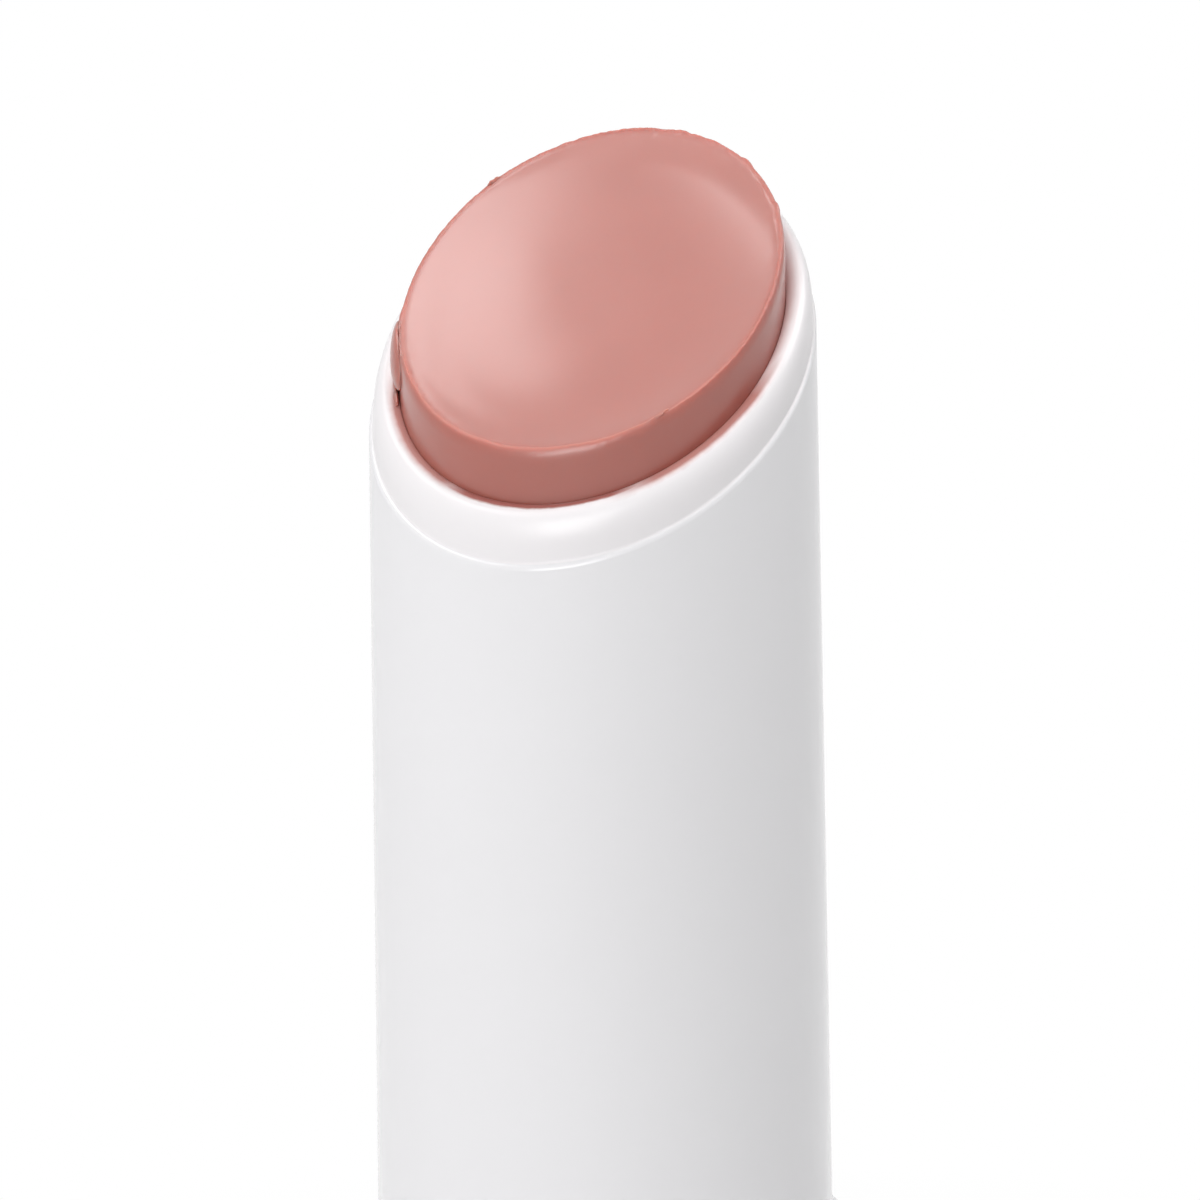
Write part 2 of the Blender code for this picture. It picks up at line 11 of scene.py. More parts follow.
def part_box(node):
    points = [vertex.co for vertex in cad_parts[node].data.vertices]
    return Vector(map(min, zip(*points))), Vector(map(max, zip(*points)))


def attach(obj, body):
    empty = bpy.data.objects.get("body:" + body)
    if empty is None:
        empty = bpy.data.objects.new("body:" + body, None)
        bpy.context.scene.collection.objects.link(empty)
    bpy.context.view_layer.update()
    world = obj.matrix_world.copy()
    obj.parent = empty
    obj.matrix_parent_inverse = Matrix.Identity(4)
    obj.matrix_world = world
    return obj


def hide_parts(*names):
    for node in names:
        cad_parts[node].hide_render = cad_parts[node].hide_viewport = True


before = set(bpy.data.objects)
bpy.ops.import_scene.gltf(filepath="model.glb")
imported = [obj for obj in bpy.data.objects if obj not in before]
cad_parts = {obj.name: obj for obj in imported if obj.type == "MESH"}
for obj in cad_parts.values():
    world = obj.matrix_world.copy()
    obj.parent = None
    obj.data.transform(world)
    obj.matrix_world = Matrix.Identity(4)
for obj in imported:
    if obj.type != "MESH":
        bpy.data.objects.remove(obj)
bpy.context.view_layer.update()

bl_info = {
    "name": "Lip Tint Stick",
    "version": (1, 0, 0),
    "blender": (4, 5, 0),
    "location": "3D View > Sidebar > Tint Stick",
    "description": "Models and finishes a twist-up lip tint stick with a slanted mouth",
    "category": "Object",
}

SLANT = math.radians(30.0)
SLOPE = math.tan(SLANT)
WELD = 0.000001
NEAR_END = 0.00035
NEAR_MOUTH = 0.0005
LIP_INSET = 0.00003
TINT_BULGE = 0.00006
WIPER_CLEARANCE = 0.000075


def off_axis(point):
    """How far a point lies from the stick's axis."""
    return math.hypot(point.x, point.y)


def slant_height(point):
    """How high a point stands once the mouth's slope is taken away."""
    return point.z - SLOPE * point.y


def mouth_height(node):
    """The height at which a slanted CAD node's end crosses the stick's axis."""
    return max(slant_height(v.co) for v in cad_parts[node].data.vertices)


def mouth_radii(node, depth):
    """The radii of a slanted CAD node's corners within a depth of its end."""
    end = mouth_height(node) - depth
    return [off_axis(v.co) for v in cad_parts[node].data.vertices if slant_height(v.co) > end]


SHELL_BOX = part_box("outer_shell")
LINER_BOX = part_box("inner_sleeve")
BULLET_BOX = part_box("bullet")
CUP_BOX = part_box("bullet_cup")
COLLAR_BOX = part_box("collar")
RING_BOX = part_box("cap_grip_ring")
BASE_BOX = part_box("base_shell")
DISC_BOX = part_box("bottom_disc")
LABEL_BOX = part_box("shade_label")
SHELL_TOP = mouth_height("outer_shell")
LIP_TOP = mouth_height("inner_sleeve")
FACE_TOP = mouth_height("bullet")


def length(name, default, description):
    """A property that holds a length."""
    return FloatProperty(
        name=name, description=description, default=default, min=0.0, precision=5,
        subtype="DISTANCE", unit="LENGTH",
    )


def colour(name, default, description):
    """A property that holds a linear colour."""
    return FloatVectorProperty(
        name=name, description=description, default=default, min=0.0, max=1.0, size=3,
        subtype="COLOR",
    )


def share(name, default, description):
    """A property that holds a number without a unit."""
    return FloatProperty(name=name, description=description, default=default, min=0.0)


def angle(name, degrees, description):
    """A property that holds an angle."""
    return FloatProperty(
        name=name, description=description, default=math.radians(degrees), subtype="ANGLE",
        unit="ROTATION",
    )


class TintStickSizes(PropertyGroup):
    """Lengths of the dressed stick, in metres."""

    shell_radius: length("Shell Radius", max(mouth_radii("outer_shell", NEAR_MOUTH)), "Outside, at the mouth")
    shell_wall: length("Shell Wall", 0.00033, "Thickness of the outer shell at its slanted edge")
    shell_edge: length("Shell Edge", 0.00014, "Rounding of the slanted edge that catches the light")
    lip_radius: length("Lip Radius", LINER_BOX[1].x - LIP_INSET, "Outside of the rounded lip")
    liner_bore: length("Liner Bore", min(mouth_radii("inner_sleeve", NEAR_END)), "Inside of the liner")
    liner_wall: length("Liner Wall", 0.00042, "Thickness of the liner below its lip")
    lip_inner_round: length("Inner Round", 0.00022, "Rounding of the lip's inner edge")
    lip_flat: length("Lip Side", 0.00045, "Straight side of the lip above the shell")
    bullet_radius: length("Bullet Radius", BULLET_BOX[1].x + TINT_BULGE, "Outside of the tint")
    dish_depth: length("Dish Depth", 0.00072, "Depth of the scooped face")
    face_sink: length("Face Sink", 0.00013, "How far the face's crest lies below the solid's top")
    shoulder_height: length("Shoulder Height", 0.00042, "Height of the soft shoulder under the flash")
    shoulder_width: length("Shoulder Width", 0.00014, "How far the shoulder leans in")
    flash_height: length("Flash Height", 0.00004, "Height of the thin flash round the face")
    flash_width: length("Flash Width", 0.00007, "Width of the thin flash round the face")
    border_width: length("Border Width", 0.00042, "Flat border between the flash and the dish")
    dish_shift: length("Dish Shift", 0.000295, "How far the dish lies off the middle")
    wiper_radius: length("Wiper Radius", BULLET_BOX[1].x + WIPER_CLEARANCE, "Where the lip wipes the tint")
    wiper_drop: length("Wiper Drop", 0.00015, "How far the wiper lies below the lip's crest")
    edge_round: length("Edge Round", 0.0002, "Rounding of small moulded edges")
    foot_round: length("Foot Round", 0.0005, "Rounding of the base's foot")


class TintStickFinish(PropertyGroup):
    """Colours and surface numbers of the finishes."""

    shell_white: colour("Shell White", (0.86, 0.853, 0.868), "Glossy outer shell")
    liner_white: colour("Liner White", (0.885, 0.861, 0.873), "Rounded lip and liner")
    tint: colour("Tint", (0.445, 0.136, 0.104), "Waxy tint")
    # Deep Tint is both the colour of the tint's speckle and the painted shade that darkens the bullet's side.
    tint_deep: colour("Deep Tint", (0.36, 0.10, 0.075), "Tint where it is thick or wet")
    # Painted highlight: this lighter tint along the front of the rim stands in for the light that the rim's
    # shoulder catches.
    tint_edge: colour("Burnished Tint", (0.52, 0.18, 0.142), "Tint rubbed light along its rim")
    # Painted shade: the stain at the mouth's front is darkened towards this colour, standing in for the shade
    # in the crevice between the tint and the lip.
    tint_shadow: colour("Shadowed Tint", (0.36, 0.105, 0.085), "Tint packed in the mouth's front crevice")
    natural: colour("Natural Plastic", (0.80, 0.79, 0.74), "Unpigmented inner pieces")
    silicone: colour("Silicone", (0.62, 0.62, 0.64), "Soft rings")
    steel: colour("Steel", (0.55, 0.55, 0.57), "Turned slug")
    paper: colour("Label Paper", (0.80, 0.80, 0.78), "Blank label")
    shell_roughness: share("Shell Roughness", 0.16, "How blurred the shell's reflections are")
    tint_roughness: share("Tint Roughness", 0.34, "How blurred the tint's sheen is")


class TintStickStage(PropertyGroup):
    """Camera, floor and lamps."""

    azimuth: angle("Azimuth", 25.43, "Camera's turn from the low side of the mouth")
    elevation: angle("Elevation", 19.19, "Camera's angle above the horizon")
    roll: angle("Roll", -0.868, "Camera's roll")
    distance: length("Distance", 0.4137, "Camera's distance from its target")
    target_drop: length("Target Drop", 0.00929, "How far the target lies below the lip's top")
    target_shift: length("Target Shift", 0.000128, "How far the target lies right of the axis")
    lens: FloatProperty(
        name="Lens", description="Focal length on a sensor 36 mm wide, in millimetres",
        default=372.84, min=1.0,
    )
    segments: IntProperty(name="Segments", description="Facets round a smooth piece", default=256)


CLASSES = [TintStickSizes, TintStickFinish, TintStickStage]


def operator(cls):
    """Adds an operator to the list that is registered and shown in the panel."""
    CLASSES.append(cls)
    return cls


def sizes():
    return bpy.context.scene.tint_stick_sizes


def finish():
    return bpy.context.scene.tint_stick_finish


def staging():
    return bpy.context.scene.tint_stick_stage


def clear_selection():
    """Leaves edit mode and deselects everything."""
    if bpy.context.mode != "OBJECT":
        bpy.ops.object.mode_set(mode="OBJECT")
    bpy.ops.object.select_all(action="DESELECT")


def activate(piece):
    """Makes a piece the only selected and the active one."""
    clear_selection()
    piece.select_set(True)
    bpy.context.view_layer.objects.active = piece
    return piece


def edit(piece):
    """Makes a piece ready for vertices to be picked, with nothing selected."""
    activate(piece)
    bpy.ops.object.mode_set(mode="EDIT")
    bpy.ops.mesh.select_mode(type="VERT")
    bpy.ops.mesh.select_all(action="DESELECT")
    bpy.ops.object.mode_set(mode="OBJECT")
    return piece


def pick(elements, test):
    """Selects the elements that pass a test, then goes back to edit mode."""
    for element in elements:
        element.select = test(element)
    bpy.ops.object.mode_set(mode="EDIT")


def apply(piece, kind, name, **settings):
    """Adds a modifier, sets it and applies it."""
    activate(piece)
    modifier = piece.modifiers.new(name, kind)
    for key, value in settings.items():
        setattr(modifier, key, value)
    bpy.ops.object.modifier_apply(modifier=modifier.name)
    return piece


def apply_place():
    """Puts the active object's place, turn and scale into its mesh."""
    bpy.ops.object.transform_apply(location=True, rotation=True, scale=True)


def weigh(piece, name, weight):
    """Adds a vertex group, in which a function of a vertex's point gives its weight, or None."""
    group = piece.vertex_groups.new(name=name)
    for vertex in piece.data.vertices:
        amount = weight(vertex.co)
        if amount is not None:
            group.add([vertex.index], amount, "REPLACE")


def turned_from(point, angle, half):
    """How far a point is turned from an angle, as a share of half an arc. Angles are in degrees."""
    off = math.degrees(math.atan2(point.y, point.x)) - angle
    return abs((off + 180) % 360 - 180) / half


def smooth(piece, angle=30.0):
    """Shades a piece smooth, but for edges sharper than an angle in degrees."""
    activate(piece)
    bpy.ops.object.shade_smooth_by_angle(angle=math.radians(angle))
    return piece


def dressed(piece, body, material, slot, *nodes):
    """Gives a finished piece its material and its body, and hides the CAD nodes it stands for. The slot is
    not used.
    """
    piece.data.materials.clear()
    piece.data.materials.append(material)
    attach(piece, body)
    if nodes:
        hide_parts(*nodes)
    return piece


def turned(name, outline, steps, closed=True):
    """Extrudes one vertex along an outline of (radius, height) and spins it round the axis."""
    clear_selection()
    bpy.ops.mesh.primitive_plane_add(size=WELD, location=(0, 0, 0))
    piece = bpy.context.object
    piece.name = name
    bpy.ops.object.mode_set(mode="EDIT")
    bpy.ops.mesh.select_mode(type="VERT")
    bpy.ops.mesh.select_all(action="SELECT")
    bpy.ops.mesh.merge(type="CENTER")
    bpy.ops.transform.translate(value=(outline[0][0], 0, outline[0][1]))
    for here, there in zip(outline, outline[1:]):
        step = (there[0] - here[0], 0, there[1] - here[1])
        bpy.ops.mesh.extrude_region_move(TRANSFORM_OT_translate={"value": step})
    if closed:
        bpy.ops.object.mode_set(mode="OBJECT")
        last = len(piece.data.vertices) - 1
        pick(piece.data.vertices, lambda v: v.index in (0, last))
        bpy.ops.mesh.edge_face_add()
    bpy.ops.mesh.select_all(action="SELECT")
    bpy.ops.mesh.spin(steps=steps, angle=math.tau, center=(0, 0, 0), axis=(0, 0, 1))
    bpy.ops.mesh.select_all(action="SELECT")
    bpy.ops.mesh.remove_doubles(threshold=WELD)
    bpy.ops.mesh.normals_make_consistent(inside=False)
    bpy.ops.object.mode_set(mode="OBJECT")
    return piece


def arc(centre, radii, start, end, steps):
    """Points of an elliptical arc in (radius, height), angles in degrees from outwards to up."""
    angles = [math.radians(start + (end - start) * i / steps) for i in range(steps + 1)]
    return [(centre[0] + radii[0] * math.cos(a), centre[1] + radii[1] * math.sin(a)) for a in angles]


CAGE_SPREAD = 2.5


def slant(piece, above):
    """Leans what stands above a height to the mouth's slope, through a lattice."""
    group = piece.vertex_groups.new(name="mouth")
    high = [v for v in piece.data.vertices if v.co.z > above]
    group.add([v.index for v in high], 1.0, "REPLACE")
    width = CAGE_SPREAD * max(off_axis(v.co) for v in high)
    middle = (max(v.co.z for v in high) + min(v.co.z for v in high)) / 2
    clear_selection()
    bpy.ops.object.add(type="LATTICE", location=(0, 0, middle))
    cage = bpy.context.object
    cage.scale = (width, width, width)
    for axis in "uvw":
        setattr(cage.data, f"interpolation_type_{axis}", "KEY_LINEAR")
    for point in cage.data.points:
        point.co_deform.z += SLOPE * point.co.y
    bpy.context.view_layer.update()
    apply(piece, "LATTICE", "slant", object=cage, vertex_group="mouth")
    bpy.data.objects.remove(cage)
    piece.vertex_groups.clear()
    return piece


def cylinder(name, radius, bottom, top, fill="NGON"):
    """A cylinder primitive at its size and place, with its place in its mesh."""
    clear_selection()
    bpy.ops.mesh.primitive_cylinder_add(
        vertices=staging().segments, radius=radius, depth=top - bottom, end_fill_type=fill,
        location=(0, 0, (bottom + top) / 2),
    )
    apply_place()
    piece = bpy.context.object
    piece.name = name
    return piece


def dimmed(colour, part):
    """A share of a colour's brightness."""
    return tuple(channel * part for channel in colour)


class Tree:
    """The node tree of a material or of the surroundings, built node by node."""

    def __init__(self, owner, shader="Principled BSDF", place="Object"):
        self.owner = owner
        owner.use_nodes = True
        self.nodes = owner.node_tree.nodes
        self.links = owner.node_tree.links
        self.shader = self.nodes[shader]
        self.place = self.add("ShaderNodeTexCoord").outputs[place]

    def add(self, kind, settings=None, **inputs):
        """Adds a node, sets its settings, and links or sets its inputs by name."""
        node = self.nodes.new(kind)
        for key, value in (settings or {}).items():
            setattr(node, key, value)
        for key, value in inputs.items():
            self.set(node, key.replace("_", " "), value)
        return node

    def set(self, node, key, value):
        """Links an output to an input, or sets the input's own value."""
        socket = node.inputs[int(key)] if key.isdigit() else node.inputs[key]
        if isinstance(value, bpy.types.NodeSocket):
            self.links.new(value, socket)
        elif socket.type == "RGBA":
            socket.default_value = (*value, 1.0)
        else:
            socket.default_value = value

    def math(self, operation, first, second=0.0, third=0.0):
        """A Math node's value."""
        node = self.add("ShaderNodeMath", {"operation": operation})
        for index, value in enumerate((first, second, third)):
            self.set(node, str(index), value)
        return node.outputs[0]

    def cloud(self, scale, detail=2.0, roughness=0.5, at=None):
        """Noise at a scale per metre, from 0 to 1."""
        made = self.add(
            "ShaderNodeTexNoise", Vector=at or self.place, Scale=scale, Detail=detail, Roughness=roughness
        )
        return made.outputs["Fac"]

    def ramp(self, value, low, high, start=0.0, end=1.0):
        """A value spread from one range to another."""
        made = self.add("ShaderNodeMapRange", Value=value)
        for key, number in (("From Min", start), ("From Max", end), ("To Min", low), ("To Max", high)):
            made.inputs[key].default_value = number
        return made.outputs["Result"]

    def rising(self, value, end, depths):
        """0 to 1 as a value rises from the first to the second of two depths below an end."""
        return self.ramp(value, 0.0, 1.0, end - depths[0], end - depths[1])

    def mix(self, share_of, first, second):
        """Two colours mixed by a share."""
        made = self.add("ShaderNodeMix", {"data_type": "RGBA"})
        for index, value in ((0, share_of), (6, first), (7, second)):
            self.set(made, str(index), value)
        return made.outputs[2]

    def bump(self, height, strength, distance, normal=None):
        """Bumps the shader's normal by a height in metres."""
        made = self.add("ShaderNodeBump", Strength=strength, Distance=distance, Height=height)
        if normal is not None:
            self.links.new(normal, made.inputs["Normal"])
        return made.outputs["Normal"]

    def axes(self):
        """The distance from the stick's axis, and x, y and z."""
        x, y, z = self.add("ShaderNodeSeparateXYZ", Vector=self.place).outputs
        squares = self.math("ADD", self.math("MULTIPLY", x, x), self.math("MULTIPLY", y, y))
        return self.math("SQRT", squares), x, y, z

    def seen(self):
        """1 for the rays that see the plain background: the camera's, and those of gloss and glass."""
        path = self.add("ShaderNodeLightPath")
        seen = path.outputs["Is Camera Ray"]
        for name in ("Is Glossy Ray", "Is Transmission Ray"):
            seen = self.math("MAXIMUM", seen, path.outputs[name])
        return seen

    def cover(self, share_of, over, output):
        """Mixes another shader over the tree's own by a share, and shows the mixture."""
        blend = self.add("ShaderNodeMixShader", Fac=share_of)
        self.links.new(self.shader.outputs[0], blend.inputs[1])
        self.links.new(over.outputs[0], blend.inputs[2])
        self.links.new(blend.outputs[0], self.nodes[output].inputs["Surface"])

    def finish(self, **inputs):
        """Sets the shader's inputs and gives the tree's owner."""
        for key, value in inputs.items():
            self.set(self.shader, key.replace("_", " "), value)
        return self.owner


PLASTIC_IOR = 1.49
HAZE_SCALE = 90.0
POLISH_SCALE = 900.0
POLISH_SHARES = (0.8, 1.25)
FLOW_SCALE = 140.0
FLOW_DEPTH = 0.00002
GRAIN_SCALE = 9000.0
GRAIN_DEPTH = 0.000002


def hazed(tree, white, dim_share):
    """White plastic that is a little dimmer in clouds."""
    return tree.mix(tree.cloud(HAZE_SCALE, 3.0), dimmed(white, dim_share), white)


def polish(tree, roughness):
    """A moulding's roughness, a little uneven."""
    low_share, high_share = POLISH_SHARES
    return tree.ramp(tree.cloud(POLISH_SCALE, 4.0, 0.6), roughness * low_share, roughness * high_share)


def fine_grain(tree, normal=None):
    """The grain that a mould leaves."""
    return tree.bump(tree.cloud(GRAIN_SCALE, 2.0), 0.12, GRAIN_DEPTH, normal)


def gloss_plastic(name, white, roughness):
    """Moulded white plastic: a faint haze, faint flow waves and fine grain."""
    tree = Tree(bpy.data.materials.new(name))
    waves = tree.bump(tree.cloud(FLOW_SCALE, 1.0), 0.25, FLOW_DEPTH)
    return tree.finish(
        Base_Color=hazed(tree, white, 0.975), Roughness=polish(tree, roughness),
        Normal=fine_grain(tree, waves), IOR=PLASTIC_IOR,
    )


STAIN_SCALE = 1500.0
STAIN_RAGGED = 0.00012
STAIN_FULL_SHARE = 0.55
STAIN_DEPTHS = (0.0014, 0.0006)
# Each stain: start and end in degrees, reach past the wiper, fade, strength, and how much painted shade
# darkens it
STAINS = (
    (-62.0, 2.0, 0.00046, 0.00011, 0.85, 0.0),
    (-122.0, -42.0, 0.00032, 0.00005, 0.97, 1.0),
    (-160.0, -100.0, 0.00032, 0.00011, 0.85, 0.0),
    (-400.0, 400.0, 0.00018, 0.00018, 0.5, 0.0),
)


def stained_plastic(name, white, roughness):
    """The liner's plastic, with tint rubbed on to the mouth's inner edge. At the front this stain is darkened
    with painted shade, standing in for the shade in the crevice.
    """
    tree = Tree(bpy.data.materials.new(name))
    radius, x, y, z = tree.axes()
    turn = tree.math("ARCTAN2", y, x)
    level = tree.math("SUBTRACT", z, tree.math("MULTIPLY", y, SLOPE))
    blotch = tree.cloud(STAIN_SCALE, 3.0, 0.6)
    stain = shade_painted = None
    for start, end, reach, fade, strength, shade in STAINS:
        middle, half = math.radians((start + end) / 2), math.radians((end - start) / 2)
        off = tree.math("ABSOLUTE", tree.math("SUBTRACT", turn, middle))
        along = tree.ramp(off, 1.0, 0.0, half * STAIN_FULL_SHARE, half)
        middle_reach = sizes().wiper_radius + reach - STAIN_RAGGED / 2
        ragged = tree.math("MULTIPLY_ADD", blotch, STAIN_RAGGED, middle_reach)
        across = tree.ramp(tree.math("SUBTRACT", radius, ragged), 1.0, 0.0, -fade, fade)
        here = tree.math("MULTIPLY", tree.math("MULTIPLY", along, across), strength)
        darkened = tree.math("MULTIPLY", along, shade)
        stain = here if stain is None else tree.math("MAXIMUM", stain, here)
        shade_painted = darkened if shade_painted is None else tree.math("MAXIMUM", shade_painted, darkened)
    stain = tree.math("MULTIPLY", stain, tree.rising(level, LIP_TOP, STAIN_DEPTHS))
    stain_roughness = tree.math("MULTIPLY", stain, finish().tint_roughness)
    # Painted shade: where a stain is marked as shaded, its tint is darkened towards the shadowed tint.
    stain_and_painted_shade = tree.mix(shade_painted, finish().tint, finish().tint_shadow)
    return tree.finish(
        Base_Color=tree.mix(stain, hazed(tree, white, 0.98), stain_and_painted_shade),
        Roughness=tree.math("MAXIMUM", polish(tree, roughness), stain_roughness),
        Normal=fine_grain(tree), IOR=PLASTIC_IOR,
    )


MOTTLE_SCALE = 380.0
MOTTLE_RANGE = (0.35, 0.65)
SPECKLE_SCALE = 5200.0
SPECKLE_RANGE = (0.64, 0.75)
SPECKLE_SHARE = 0.08
# Depths below the bullet's radius between which its side and its shoulder begin
SIDE_INSETS = (0.00012, 0.00002)
SHOULDER_INSETS = (0.00034, 0.00016)
SIDE_SHADE_SHARE = 0.22
SHOULDER_DULL_SHARE = 0.18
SHOULDER_COAT_SHARE = 0.15
SIDE_COAT_SHARE = 0.33
# How strong and how wide the painted highlight along the rim is, and how far towards the front it reaches
RIM_HIGHLIGHT_SHARE = 0.9
RIM_HIGHLIGHT_WIDTHS = (0.00003, 0.00009)
RIM_HIGHLIGHT_REACH = -0.0025
DRAG_SCALE = 420.0
DRAG_TURN = math.radians(25.0)
DRAG_STRETCH = (1.0, 5.0, 1.0)
DRAG_DEPTH = 0.000010
WAX_GRAIN_SCALE = 8000.0
WAX_GRAIN_DEPTH = 0.000003
WAX_BLUR_SHARES = (1.0, 0.36, 0.25)
WAX_BLUR_DEPTH = 0.0007


def wax(name):
    """The tint: pigmented wax with a satin face, a duller side, fine speckle and drag marks. Its side is
    darkened with painted shade, and the front of its rim is lightened with a painted highlight.
    """
    tree = Tree(bpy.data.materials.new(name))
    s, colours = sizes(), finish()
    mottle = tree.cloud(MOTTLE_SCALE, 3.0, 0.55)
    speckle = tree.cloud(SPECKLE_SCALE, 2.0)
    base = tree.mix(tree.ramp(mottle, 0.0, 1.0, *MOTTLE_RANGE), dimmed(colours.tint, 0.97), colours.tint)
    base = tree.mix(tree.ramp(speckle, 0.0, SPECKLE_SHARE, *SPECKLE_RANGE), base, colours.tint_deep)
    radius, _, y, _ = tree.axes()
    side = tree.rising(radius, s.bullet_radius, SIDE_INSETS)
    # Painted shade: the bullet's upright side is darkened towards the deep tint, standing in for the shade
    # that falls on it.
    base = tree.mix(tree.math("MULTIPLY", side, SIDE_SHADE_SHARE), base, colours.tint_deep)
    crest = s.bullet_radius - s.shoulder_width
    off = tree.math("ABSOLUTE", tree.math("SUBTRACT", radius, crest))
    # Painted highlight: a lighter tint along the rim's crest, on the front only, where the shoulder catches
    # the light; rubbed holds this painted highlight.
    front = tree.ramp(y, 0.0, 1.0, 0.0, RIM_HIGHLIGHT_REACH)
    rubbed = tree.math("MULTIPLY", tree.ramp(off, RIM_HIGHLIGHT_SHARE, 0.0, *RIM_HIGHLIGHT_WIDTHS), front)
    base = tree.mix(rubbed, base, colours.tint_edge)
    stretched = tree.add("ShaderNodeMapping", Vector=tree.place, Rotation=(0.0, 0.0, DRAG_TURN),
                         Scale=DRAG_STRETCH)
    normal = tree.bump(tree.cloud(DRAG_SCALE, 2.0, at=stretched.outputs[0]), 0.12, DRAG_DEPTH)
    normal = tree.bump(tree.cloud(WAX_GRAIN_SCALE, 3.0, 0.6), 0.12, WAX_GRAIN_DEPTH, normal)
    near = tree.rising(radius, s.bullet_radius, SHOULDER_INSETS)
    coat = tree.math("MULTIPLY_ADD", side, SIDE_COAT_SHARE, tree.ramp(near, 1.0, SHOULDER_COAT_SHARE))
    rough = tree.ramp(mottle, colours.tint_roughness * 0.9, colours.tint_roughness * 1.1)
    duller = tree.math("MULTIPLY", tree.math("SUBTRACT", near, side), SHOULDER_DULL_SHARE)
    rough = tree.math("ADD", rough, duller)
    return tree.finish(
        Base_Color=base, Roughness=rough, Normal=normal, IOR=1.46, Specular_IOR_Level=0.7,
        Subsurface_Weight=0.5, Subsurface_Radius=WAX_BLUR_SHARES, Subsurface_Scale=WAX_BLUR_DEPTH,
        Coat_Weight=coat, Coat_Roughness=0.21,
    )


INNER_MOTTLE_SCALE = 300.0
INNER_POLISH_SCALE = 1200.0
INNER_GRAIN_SCALE = 3000.0
INNER_GRAIN_DEPTH = 0.000005


def plain_moulding(name, base, roughness):
    """An inner moulding: satin, with a faint mottle and grain."""
    tree = Tree(bpy.data.materials.new(name))
    mottle = tree.cloud(INNER_MOTTLE_SCALE, 3.0)
    rough = tree.ramp(tree.cloud(INNER_POLISH_SCALE, 3.0), roughness * 0.85, roughness * 1.15)
    normal = tree.bump(tree.cloud(INNER_GRAIN_SCALE, 2.0), 0.2, INNER_GRAIN_DEPTH)
    return tree.finish(Base_Color=tree.mix(mottle, dimmed(base, 0.95), base), Roughness=rough, Normal=normal)


TOOL_RING_SCALE = 2400.0
TOOL_RING_DEPTH = 0.000008
STEEL_POLISH_SCALE = 1500.0
STEEL_TARNISH_SCALE = 500.0


def turned_steel(name):
    """Steel with the rings that a lathe tool leaves."""
    tree = Tree(bpy.data.materials.new(name))
    rings = tree.add("ShaderNodeTexWave", {"bands_direction": "Z"}, Vector=tree.place,
                     Scale=TOOL_RING_SCALE, Distortion=0.6)
    normal = tree.bump(rings.outputs["Fac"], 0.3, TOOL_RING_DEPTH)
    rough = tree.ramp(tree.cloud(STEEL_POLISH_SCALE, 3.0), 0.26, 0.4)
    base = finish().steel
    tarnish = tree.mix(tree.cloud(STEEL_TARNISH_SCALE, 2.0), dimmed(base, 0.9), base)
    return tree.finish(Base_Color=tarnish, Roughness=rough, Normal=normal, Metallic=1.0)


FIBRE_SCALE = 4000.0
FIBRE_DEPTH = 0.00001


def paper(name):
    """Blank uncoated label paper with its fibres."""
    tree = Tree(bpy.data.materials.new(name))
    fibre = tree.cloud(FIBRE_SCALE, 5.0, 0.7)
    base = finish().paper
    normal = tree.bump(fibre, 0.4, FIBRE_DEPTH)
    rough = tree.ramp(fibre, 0.6, 0.8)
    return tree.finish(Base_Color=tree.mix(fibre, dimmed(base, 0.93), base), Roughness=rough, Normal=normal)


CUT_EDGE_ANGLE = math.radians(40.0)


@operator
class MakeBarrelShell(Operator):
    """Models the glossy outer tube: drafted, cut at the slant, with a fine rounded edge"""

    bl_idname = "object.tint_stick_barrel_shell"
    bl_label = "Barrel Shell"

    def execute(self, context):
        s = sizes()
        foot_radius, foot = SHELL_BOX[1].x, SHELL_BOX[0].z
        above = SHELL_TOP + SLOPE * foot_radius + s.lip_flat
        draft = (foot_radius - s.shell_radius) / (SHELL_TOP - foot)
        piece = edit(cylinder("barrel_shell", foot_radius, foot, above, "NOTHING"))
        middle = (foot + above) / 2
        pick(piece.data.vertices, lambda v: v.co.z > middle)
        narrow = 1 - draft * (above - foot) / foot_radius
        bpy.ops.transform.resize(value=(narrow, narrow, 1), center_override=(0, 0, above))
        bpy.ops.object.mode_set(mode="OBJECT")
        apply(piece, "SOLIDIFY", "wall", thickness=s.shell_wall, offset=-1.0)
        edit(piece)
        bpy.ops.object.mode_set(mode="EDIT")
        bpy.ops.mesh.select_all(action="SELECT")
        bpy.ops.mesh.bisect(
            plane_co=(0, 0, SHELL_TOP), plane_no=(0, -math.sin(SLANT), math.cos(SLANT)), clear_outer=True
        )
        bpy.ops.mesh.select_all(action="DESELECT")
        bpy.ops.mesh.select_non_manifold(extend=False)
        bpy.ops.mesh.bridge_edge_loops()
        bpy.ops.mesh.select_all(action="SELECT")
        bpy.ops.mesh.normals_make_consistent(inside=False)
        bpy.ops.object.mode_set(mode="OBJECT")
        apply(piece, "BEVEL", "edges", width=s.shell_edge, segments=4, limit_method="ANGLE",
              angle_limit=CUT_EDGE_ANGLE, use_clamp_overlap=False)
        smooth(piece)
        material = gloss_plastic("gloss_white_shell", finish().shell_white, finish().shell_roughness)
        dressed(piece, "barrel", material, "gloss_white", "outer_shell")
        return {"FINISHED"}


WIPER_OPEN = 35.0
# Depths below the taper at which the bore has a ring of vertices, so that it shades evenly
BORE_RINGS = (0.003, 0.0002, 0.0)


